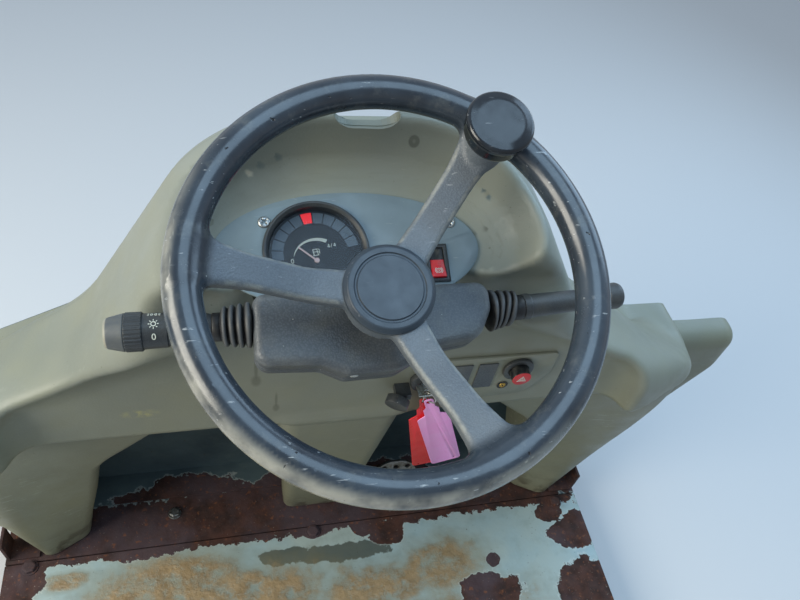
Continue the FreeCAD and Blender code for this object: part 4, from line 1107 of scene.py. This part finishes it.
def deck_paint(name, peeled, mud, worn, base, light="#a9b9b4", seam=None):
    """Pale blue-green enamel on a steel deck: peeled to rust in places, with dried mud and worn patches."""
    made, tree, shader = material(name, base, 0.4)
    paint = mixed(tree, span(tree, noise(tree, 130, 4.0), 0.38, 0.64), base, light)
    paint = mixed(tree, calc(tree, "MULTIPLY", span(tree, noise(tree, 24, 5.0), 0.50, 0.70), 0.22), paint, "#6f7d76")
    chips = span(tree, noise(tree, 5, 3.0), 0.70, 0.73)
    paint = mixed(tree, calc(tree, "MULTIPLY", chips, 0.75), paint, "#4f4438")
    if worn:
        grey = blots(tree, worn, 1.5, 24)
        paint = mixed(tree, calc(tree, "MULTIPLY", span(tree, grey, 0.02, 0.10), 0.88), paint, "#4d534b")
    height = span(tree, noise(tree, 45, 3.0), 0.3, 0.7)
    if mud:
        film = blots(tree, mud, 1.3, 46)
        clay = mixed(tree, span(tree, noise(tree, 26, 7.0), 0.36, 0.66), "#8a7350", "#a98e66")
        grit = span(tree, noise(tree, 4.0, 3.0), 0.62, 0.68)
        clay = mixed(tree, calc(tree, "MULTIPLY", grit, 0.3), clay, "#6b583f")
        crumb = span(tree, noise(tree, 6.0, 2.0), 0.70, 0.74)
        clay = mixed(tree, calc(tree, "MULTIPLY", crumb, 0.4), clay, "#cdb889")
        paint = mixed(tree, span(tree, film, -0.45, 0.25, 0.0, 0.55), paint, "#807858")
        thick = span(tree, film, 0.0, 0.42)
        broken = span(tree, noise(tree, 24, 8.0, rough=0.68), 0.36, 0.54)
        thick = calc(tree, "MULTIPLY", thick, broken)
        paint = mixed(tree, calc(tree, "MULTIPLY", thick, 0.9), paint, clay)
        height = calc(tree, "ADD", height, calc(tree, "MULTIPLY", thick, span(tree, noise(tree, 9, 6.0), 0.3, 0.7, 0.2, 1.4)))
    bare = blots(tree, peeled, 1.5, 44)
    if seam is not None:
        strip = span(tree, axis_of(tree, 1), seam - 0.030, seam + 0.030, -1.0, 1.0)
        jag = calc(tree, "MULTIPLY", calc(tree, "SUBTRACT", noise(tree, 46, 7.0, rough=0.7), 0.5), 2.6)
        bare = calc(tree, "MAXIMUM", bare, calc(tree, "ADD", strip, jag))
    gone = span(tree, bare, 0.0, 0.03)
    lip = calc(tree, "MULTIPLY", span(tree, bare, -0.06, -0.01), calc(tree, "SUBTRACT", 1.0, gone))
    paint = mixed(tree, calc(tree, "MULTIPLY", lip, 0.4), paint, "#d3dad2")
    colour = mixed(tree, gone, paint, rust_colour(tree))
    rough = mixed(tree, gone, (0.38, 0.38, 0.38, 1), (0.82, 0.82, 0.82, 1))
    rough = calc(tree, "ADD", rough, span(tree, noise(tree, 20, 4.0), 0.35, 0.7, -0.06, 0.16))
    skin = relief(tree, calc(tree, "SUBTRACT", height, gone), 0.7)
    skin = relief(tree, calc(tree, "MULTIPLY", noise(tree, 7, 5.0), gone), 0.8, skin)
    finish(tree, shader, colour, rough, skin)
    return made


def metal(name, base, rough, stain, share):
    """Bare or plated metal with patches of stain."""
    made, tree, shader = material(name, base, rough, 1.0)
    dirty = calc(tree, "MULTIPLY", span(tree, noise(tree, 6, 4.0), 0.45, 0.65), share)
    colour = mixed(tree, dirty, base, stain)
    finish(tree, shader, colour, span(tree, noise(tree, 4, 4.0), 0.3, 0.7, rough - 0.05, rough + 0.2),
           relief(tree, noise(tree, 1.5, 3.0), 0.05))
    return made


# %% One material for every slot
# Deck rows: x, y, half x, half y in mm.
PEELED = [(500, 58, 60, 34), (455, 96, 30, 20), (500, -60, 70, 62), (290, -40, 62, 46), (128, 104, 34, 26),
          (85, 128, 30, 26), (318, 24, 14, 14), (-505, 98, 46, 40), (-490, 50, 30, 30), (470, 122, 24, 20),
          (-486, 124, 28, 20), (-9, 124, 20, 14)]
MUD = [(-240, 60, 120, 62), (-330, 20, 80, 80), (-130, 10, 160, 70), (90, 6, 120, 46), (225, 30, 80, 52),
       (-428, 92, 38, 16), (160, -90, 260, 80), (-200, -150, 320, 120)]
WORN = [(36, 78, 110, 17), (-60, 84, 50, 16)]
materials = {
    "moulded_plastic": rotomoulded_polyethylene(),
    "panel_plastic": smooth_plastic("satin_abs_panel", "#7f9096", 0.34, "#6d7b80", 60, 0.6),
    "black_plastic": grained_plastic("grained_abs", "#40464c", "#585e63", 1.9, 0.24, 0.46),
    "gloss_black": smooth_plastic("polished_phenolic", "#14181d", 0.17, "#2c3238", 22, 0.4),
    "wheel_plastic": handled_wheel(),
    "rubber": smooth_plastic("nitrile_rubber", "#1c1c1d", 0.55, "#4b4a44", 8, 0.4),
    # This enamel is the deck's blue-green darkened: a painted shade, as it lies in shadow in the knee openings.
    "painted_steel": deck_paint("enamelled_steel", [(-240, 215, 120, 50), (60, 205, 220, 50)], [], [], "#46575c", "#56686c"),
    "rusted_steel": rusted_steel(),
    "bare_steel": metal("rolled_steel", "#8b8b88", 0.42, "#54483c", 0.7),
    "plated_steel": metal("zinc_plated_steel", "#b9bbb8", 0.26, "#7d7563", 0.4),
    "cast_iron": smooth_plastic("painted_casting", "#2f3133", 0.6, "#4a463f", 10, 0.5),
    "dial": smooth_plastic("printed_dial_card", "#141a21", 0.45, "#1d252e", 30, 0.3, marks=0.0),
    "lens": lens_plastic(),
    "red_plastic": smooth_plastic("red_polypropylene", "#f52a36", 0.32, "#e0202c", 14, 0.4, "#f09a96", 0.25),
    "pink_plastic": smooth_plastic("pink_polypropylene", "#ffb4f0", 0.42, "#ffa2e8", 18, 0.5, "#ffe2f8", 0.3),
    "needle": smooth_plastic("painted_pointer", "#f1d9d8", 0.5, "#e7bdbd", 3, 0.4, marks=0.0),
    "beige_plastic": two_tone("faded_abs", "#585c5d", "#a09d8c", 0, -0.2362, -0.2370),
}
footplate_paint = deck_paint("peeling_deck_enamel", PEELED, MUD, WORN, "#9db6ba", seam=0.117)
# Darkened enamel beyond the rust: a painted shade, as on the bulkhead.
front_enamel_and_painted_shade = deck_paint("rusted_deck_enamel", [(-100, 150, 700, 74), (40, 190, 260, 60)], [], [], "#46575c", "#56686c")
hazard_red = two_tone("red_faced_button", "#17191c", "#e3222c", 1, 0.0512, 0.0504, 0.35)
rocker_red = two_tone("half_red_rocker", "#f02632", "#15181b", 1, 0.0722, 0.0728, 0.3)
cap_plastic = smooth_plastic("satin_cap", "#39434c", 0.38, "#46515b", 30, 0.6)
bellows_rubber = ribbed_rubber()
stalk_plastic = grained_plastic("satin_nylon", "#25292d", "#3c4145", 1.2, 0.06, 0.42, 0.15, "#70757a")
SPECIAL = {"footplate": footplate_paint, "front_plate": front_enamel_and_painted_shade, "hazard_button": hazard_red,
           "rocker_button": rocker_red, "hub_cap": cap_plastic}
SATIN = {"left_barrel", "left_band", "left_knob", "right_barrel", "right_knob", "gauge_bezel", "hazard_bezel",
         "ignition_switch", "ignition_cover", "rocker_frame"}
for node, thing in frame["nodes"].items():
    chosen = SPECIAL.get(node) or (stalk_plastic if node in SATIN else materials[slot_of[node]])
    thing.data.materials.clear()
    thing.data.materials.append(chosen)

# %% [markdown]
# ## Printed marks, screws and bolts
# The dial and the stalk carry plain printed symbols. Each mark is a thin raised film cut from flat strokes,
# so that it stays crisp at any distance, where a picture would blur. Screws and bolts are turned heads
# with a cross recess or six flats.

# %% Marks


def stroke(points, width, closed=False):
    """A flat line of constant width through the points: its corners and faces."""
    line = np.array(points, float)
    ahead = np.roll(line, -1, axis=0) - line
    if not closed:
        ahead[-1] = ahead[-2]
    ahead /= np.linalg.norm(ahead, axis=1)[:, None]
    behind = np.roll(ahead, 1, axis=0)
    if not closed:
        behind[0] = ahead[0]
    middle = ahead + behind
    middle /= np.linalg.norm(middle, axis=1)[:, None]
    out = np.column_stack([-middle[:, 1], middle[:, 0]])
    reach = width / 2 / np.maximum((middle * ahead).sum(1), 0.5)
    corners = np.vstack([line - out * reach[:, None], line + out * reach[:, None]])
    n = len(line)
    faces = [(i, (i + 1) % n, (i + 1) % n + n, i + n) for i in range(n if closed else n - 1)]
    return corners, faces


def arc(centre, radius, start, stop, count=16):
    turn = np.radians(np.linspace(start, stop, count))
    return np.column_stack([centre[0] + radius * np.cos(turn), centre[1] + radius * np.sin(turn)])


def filled(points):
    """A flat shape from its outline, as a fan about its middle."""
    outline = np.array(points, float)
    n = len(outline)
    return np.vstack([outline, outline.mean(0)]), [(i, (i + 1) % n, n) for i in range(n)]


def film(name, shapes, place, body, slot_name, look, thick=0.12):
    """Flat shapes as one thin closed film that stands on the plane z = 0 of its place."""
    points, faces = [], []
    for corners, flat in shapes:
        start = len(points)
        n = len(corners)
        points += [(x, y, thick) for x, y in corners] + [(x, y, -thick / 2) for x, y in corners]
        sides = {}
        for face in flat:
            faces.append([start + i for i in face])
            faces.append([start + n + i for i in reversed(face)])
            for a, b in zip(face, face[1:] + face[:1]):
                sides[(a, b)] = True
        for a, b in sides:
            if (b, a) not in sides:
                faces.append([start + b, start + a, start + a + n, start + b + n])
    piece = make_mesh(name, place(np.array(points)), faces, body, smooth=False)
    piece.data.materials.append(look)
    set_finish(piece, slot_name)
    return piece


def digit(x, y, high, kind):
    """A printed 0, 4 or slash, its lower left corner at (x, y)."""
    wide, line = high * 0.56, high * 0.16
    if kind == "0":
        turn = np.radians(np.arange(0, 360, 20))
        ring = np.column_stack([x + wide / 2 * (1 + np.cos(turn)), y + high / 2 * (1 + np.sin(turn))])
        return [stroke(ring, line, True)]
    if kind == "4":
        return [stroke([(x + wide * 0.75, y), (x + wide * 0.75, y + high)], line),
                stroke([(x + wide * 0.75, y + high), (x, y + high * 0.3), (x + wide * 1.05, y + high * 0.3)], line)]
    return [stroke([(x, y), (x + wide * 0.8, y + high)], line)]


# %% Dial
DIAL_OUT, DIAL_TURN = -121.0, math.radians(10.0)
turned_cos, turned_sin = math.cos(DIAL_TURN), math.sin(DIAL_TURN)
dial_place = seat((GAUGE_X, GAUGE_UP, DIAL_OUT), (turned_cos, turned_sin, 0), (-turned_sin, turned_cos, 0), (0, 0, 1))
print_white = smooth_plastic("white_print", "#e3e9dc", 0.5, "#cfd6c6", 5, 0.3, marks=0.0)
window_grey = smooth_plastic("unlit_window", "#5f6e7b", 0.3, "#6d7c89", 9, 0.5, marks=0.1)
lamp_red, tree, shader = material("lit_red_window", "#ff3038", 0.4)
shader.inputs["Emission Color"].default_value = tint("#ff2a30")
shader.inputs["Emission Strength"].default_value = 0.55
WINDOW_COUNT, WINDOW_LIT = 11, 5
WINDOW_IN, WINDOW_OUT, WINDOW_HALF = 31.5, 42.5, 7.4
windows = [[], []]
for i in range(WINDOW_COUNT):
    middle = 90 - 16.6 * (i - WINDOW_LIT)
    block = np.vstack([arc((0, 0), WINDOW_OUT, middle - WINDOW_HALF, middle + WINDOW_HALF, 6),
                       arc((0, 0), WINDOW_IN, middle + WINDOW_HALF, middle - WINDOW_HALF, 6)])
    windows[i == WINDOW_LIT].append(filled(block))
film("dial_windows", windows[0], dial_place, "console", "dial", window_grey)
film("dial_warning_lamp", windows[1], dial_place, "console", "red_plastic", lamp_red, 0.3)
fuel_turn = np.radians(np.linspace(158, 50, 18))
fuel_in = np.column_stack([-2 + 21.0 * np.cos(fuel_turn), -6 + 19.0 * np.sin(fuel_turn)])
width = np.linspace(0.5, 3.8, 18)[:, None]
fuel_out = fuel_in + width * np.column_stack([np.cos(fuel_turn), np.sin(fuel_turn)])
crescent = (np.vstack([fuel_in, fuel_out]), [(i + 1, i, i + 18, i + 19) for i in range(17)])
crescent = (crescent[0], [tuple(face) for face in crescent[1]])
marks = [crescent] + digit(-25.5, -5.5, 4.2, "0")
for i, kind in enumerate("4/4"):
    marks += digit(12.6 + 3.0 * i, 3.0, 3.6, kind)
pump = [stroke([(-2.5, -2.2), (-2.5, 4.0), (1.5, 4.0), (1.5, -2.2)], 0.8), stroke([(-3.5, -2.2), (2.5, -2.2)], 0.8),
        stroke([(-2.2, 1.4), (1.2, 1.4)], 0.7), stroke([(1.6, 1.0), (3.4, 0.4), (3.4, -1.4)], 0.6),
        stroke([(3.6, 0.4), (3.6, 3.0), (2.4, 4.2)], 0.6)]
film("dial_marks", marks + pump, dial_place, "console", "needle", print_white, 0.14)

# %% Symbols on the stalk, the rocker and the hazard switch
BAND_RADIUS = 16.0


def round_the_band(points):
    """Flat points wrapped round the left stalk: x runs outwards along it, y round it."""
    x, y, z = np.asarray(points, float).T
    radius = BAND_RADIUS - 0.12 + z
    turn = y / BAND_RADIUS
    return STALK_LEFT(np.column_stack([radius * np.cos(turn), radius * np.sin(turn), x]))


sun = [stroke(arc((0, 0), 2.0, 0, 330, 12), 0.7, True)]
for i in range(8):
    turn = math.radians(45 * i)
    sun.append(stroke([(3.0 * math.cos(turn), 3.0 * math.sin(turn)), (4.5 * math.cos(turn), 4.5 * math.sin(turn))], 0.7))
side_lamp = [stroke(arc((-2.4, 0), 1.7, -90, 90, 8), 0.6), stroke([(-2.4, -1.7), (-2.4, 1.7)], 0.6),
             stroke(arc((2.4, 0), 1.7, 90, 270, 8), 0.6), stroke([(2.4, -1.7), (2.4, 1.7)], 0.6)]
for i in (-1, 0, 1):
    side_lamp += [stroke([(-3.9, i * 1.3), (-5.4, i * 1.8)], 0.5), stroke([(3.9, i * 1.3), (5.4, i * 1.8)], 0.5)]


def shifted(shapes, x, y, flip=1.0):
    """Shapes moved, and mirrored along x for a place whose x runs to the left."""
    moved = []
    for corners, faces in shapes:
        spot = corners * (flip, 1.0) + (x, y)
        moved.append((spot, [tuple(reversed(face)) if flip < 0 else tuple(face) for face in faces]))
    return moved


band = shifted(sun, 197, 2.0) + shifted(side_lamp, 197, 13.5) + shifted(digit(-1.4, -2.5, 5.0, "0"), 197, -9.5)
film("stalk_symbols", band, round_the_band, "console", "needle", print_white, 0.2)

ROCKER_TILT = math.radians(-14.0)
rocker_place = seat((69, 48.5, PANEL_OUT + 1.05), (1, 0, 0), (0, math.cos(ROCKER_TILT), math.sin(ROCKER_TILT)),
                    (0, -math.sin(ROCKER_TILT), math.cos(ROCKER_TILT)))
brake = [stroke(arc((0, 0), 2.4, 0, 340, 18), 0.6, True), stroke(arc((0, 0), 3.8, 125, 235, 9), 0.6),
         stroke(arc((0, 0), 3.8, -55, 55, 9), 0.6), stroke([(0, -1.1), (0, 1.3)], 0.6)]
film("rocker_symbol", shifted(brake, 0, -9.0), rocker_place, "console", "needle", print_white, 0.2)

hazard_place = seat((212, 70, -281), (1, 0, 0), (0, 0, 1), (0, -1, 0), level=True)
triangle = [(0, 5.6), (-5.4, -3.6), (5.4, -3.6)]
inner = [(0, 2.3), (-2.5, -1.9), (2.5, -1.9)]
film("hazard_symbol", [stroke(triangle, 0.9, True), stroke(inner, 0.8, True)], hazard_place, "console", "needle",
     print_white, 0.2)

# %% Screws and bolts


def cross_head(name, place, radius, high, body, look, slot_name, turn=0.0):
    """A pan-head screw with a cross recess: a round grid whose height dips where the cross is."""
    rings, around = 14, 64
    k = 2 * np.pi * np.arange(around) / around
    points = [(0.0, 0.0, high - 0.42 * radius)]
    for i in range(1, rings + 1):
        r = radius * i / rings
        dome = high * math.sqrt(max(1 - (i / rings) ** 3.2, 0.0))
        across, along = np.abs(r * np.cos(k - turn)), np.abs(r * np.sin(k - turn))
        slot = (np.minimum(across, along) < 0.15 * radius) & (np.maximum(across, along) < 0.62 * radius)
        points += list(zip(r * np.cos(k), r * np.sin(k), dome - 0.42 * radius * slot))
    points += list(zip(radius * np.cos(k), radius * np.sin(k), np.full(around, -1.0)))
    faces = [(0, 1 + m, 1 + (m + 1) % around) for m in range(around)]
    for i in range(rings):
        start = 1 + i * around
        faces += [(start + m, start + around + m, start + around + (m + 1) % around, start + (m + 1) % around)
                  for m in range(around)]
    faces.append(tuple(range(1 + rings * around + around - 1, rings * around, -1)))
    piece = make_mesh(name, place(np.array(points)), faces, body)
    piece.data.materials.append(look)
    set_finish(piece, slot_name)
    return piece


def hexagon_bolt(name, x, y, turn, look, across=9.5, high=7.0, washer=13.5):
    """A hexagon head on a washer, standing on the deck at (x, y) mm of the row."""
    place = seat((x, y + 20, -854), (1, 0, 0), (0, 1, 0), (0, 0, 1), level=True)
    disc = lathe(name + "_washer", [(-0.3, 0, 0), (-0.3, washer, 0), (1.8, washer - 0.2, 0.6), (1.8, 0, 0)], place,
                 "console", 36)
    corner = across / math.cos(math.radians(30))
    rows = [(1.6, corner), (high - 1.2, corner), (high, across * 0.93)]
    points = []
    for z, radius in rows:
        for i in range(6):
            angle = turn + math.radians(60 * i)
            points.append((radius * math.cos(angle), radius * math.sin(angle), z))
    points.append((0, 0, high))
    faces = [(r * 6 + i, r * 6 + (i + 1) % 6, (r + 1) * 6 + (i + 1) % 6, (r + 1) * 6 + i)
             for r in range(2) for i in range(6)]
    faces += [(12 + i, 12 + (i + 1) % 6, 18) for i in range(6)] + [(5, 4, 3, 2, 1, 0)]
    head = make_mesh(name + "_head", place(np.array(points)), faces, "console", smooth=False)
    bevel = head.modifiers.new("edges", "BEVEL")
    bevel.width, bevel.segments = 0.0009, 2
    for piece in (disc, head):
        piece.data.materials.append(look)
        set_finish(piece, "rusted_steel")


zinc = materials["plated_steel"]
brass = metal("tarnished_brass", "#b9974e", 0.3, "#6d5a34", 0.5)
cross_head("panel_screw_left", outwards(-97, 97, PANEL_OUT), 6.2, 2.4, "console", zinc, "plated_steel", 0.7)
cross_head("panel_screw_right", outwards(88, 92, PANEL_OUT), 6.2, 2.4, "console", zinc, "plated_steel", 0.2)
chin_place = seat((-27, -59.4, -106), (1, 0, 0), (0, 0, -1), (0, -1, 0))
cross_head("chin_screw", chin_place, 4.2, 1.4, "console", zinc, "plated_steel", 0.3)
plate_place = seat((201, 87.4, -317), (1, 0, 0), (0, 0, 1), (0, -1, 0), level=True)
cross_head("switch_plate_screw", plate_place, 4.6, 2.0, "console", brass, "plated_steel", 0.5)
# A dark disc round the brass screw: the painted shade of the recess it sits in.
recess = lathe("switch_plate_screw_recess", [(0.0, 0, 0), (0.0, 7.6, 0.3), (0.5, 7.4, 0.3), (0.5, 0, 0)], plate_place,
               "console", 36)
recess.data.materials.append(materials["rubber"])
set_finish(recess, "rubber")
for i, (x, y, turn) in enumerate(((-486, 124, 0.2), (-9, 122, 0.9), (477, 118, 0.5))):
    hexagon_bolt("seam_bolt_%d" % (i + 1), x, y, turn, materials["rusted_steel"])
hexagon_bolt("floor_bolt", -254, 190, 0.35, materials["bare_steel"], 8.5, 7.5, 11.5)
# A dark disc on the panel: the painted shade inside a small pilot hole.
hole_painted_shade = film("panel_pilot_hole", [filled(arc((0, 0), 1.8, 0, 345, 24))], outwards(-84, 97, PANEL_OUT), "console",
                 "rubber", materials["rubber"])

# %% Assign materials to the new pieces
FINISH = {"cowl_shell": "moulded_plastic", "wheel_moulding": "wheel_plastic", "housing_moulding": "black_plastic"}
for thing in list(bpy.data.objects):
    if thing.type != "MESH" or thing.name in frame["nodes"] or thing.data.materials:
        continue
    node = thing.name.removesuffix("_soft")
    slot_name = thing.get("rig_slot") or FINISH.get(thing.name)
    replaced = [n for n in thing.get("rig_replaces", [])]
    chosen = materials[slot_name] if slot_name else None
    if replaced and replaced[0] in SATIN:
        chosen = stalk_plastic
    if replaced and replaced[0] in SPECIAL:
        chosen = SPECIAL[replaced[0]]
    if thing.name in ("left_bellows", "right_bellows"):
        chosen = bellows_rubber
    if chosen:
        thing.data.materials.append(chosen)

# %% [markdown]
# ## Studio
# A plain pale floor that keeps the part's shadow, a pale room that plastics can reflect, and three soft
# lamps: cool ones overhead and on the right, like the open sky that the wheel and the wing mirror, and a
# warm one from the driver's left, which draws the light line on the left shoulder; on the rim's side that
# line is partly a painted highlight in the wheel's material.

# %% Floor, background and lamps
floor_mesh = bpy.data.meshes.new("studio_floor")
floor_mesh.from_pydata([(-9, -9, -0.001), (9, -9, -0.001), (9, 9, -0.001), (-9, 9, -0.001)], [], [(0, 1, 2, 3)])
floor = bpy.data.objects.new("studio_floor", floor_mesh)
bpy.context.scene.collection.objects.link(floor)
floor_finish, tree, shader = material("pale_studio_floor", "#dcdddd", 0.9)
path = add(tree, "LightPath").outputs
direct = calc(tree, "MAXIMUM", path["Is Camera Ray"], calc(tree, "MAXIMUM", path["Is Glossy Ray"],
                                                           path["Is Transmission Ray"]))
finish(tree, shader, mixed(tree, direct, "#8b8984", "#dcdddd"))
floor_mesh.materials.append(floor_finish)

world = bpy.data.worlds.new("studio")
bpy.context.scene.world = world
world.use_nodes = True
tree = world.node_tree
path = add(tree, "LightPath")
seen = calc(tree, "MAXIMUM", path.outputs["Is Camera Ray"], path.outputs["Is Transmission Ray"])
glossy = path.outputs["Is Glossy Ray"]
back = tree.nodes["Background"]
way = add(tree, "SeparateXYZ", Vector=add(tree, "TexCoord").outputs["Generated"]).outputs
sky = mixed(tree, span(tree, way[2], -0.1, 0.9), "#dfe3e6", "#c3daf4")
tree.links.new(mixed(tree, seen, sky, "#e6e8ea"), back.inputs["Color"])
# Darker behind the driver, as where somebody stands there.
ahead = span(tree, way[1], -0.7, 0.6, 0.72, 1.15)
lit = calc(tree, "MULTIPLY", ahead, calc(tree, "ADD", calc(tree, "MULTIPLY", glossy, 0.3), 0.52))
strength = add(tree, "Mix", data_type="FLOAT", in0=seen, in2=lit, in3=1.0).outputs[0]
tree.links.new(strength, back.inputs["Strength"])


def lamp(name, place, size, power, colour):
    """A soft square lamp that faces the wheel."""
    light = bpy.data.lights.new(name, "AREA")
    light.energy, light.size, light.color = power, size, colour
    thing = bpy.data.objects.new(name, light)
    thing.location = place
    thing.rotation_euler = (Vector(WHEEL_CENTRE.tolist()) - thing.location).to_track_quat("-Z", "Y").to_euler()
    bpy.context.scene.collection.objects.link(thing)


lamp("overhead_lamp", (0.45, -0.10, 3.1), 1.7, 30, (0.52, 0.76, 1.0))
lamp("left_lamp", (-2.2, -0.5, 1.8), 1.6, 64, (1.0, 0.95, 0.83))
lamp("right_lamp", (2.0, 0.9, 1.9), 1.4, 20, (0.50, 0.74, 1.0))
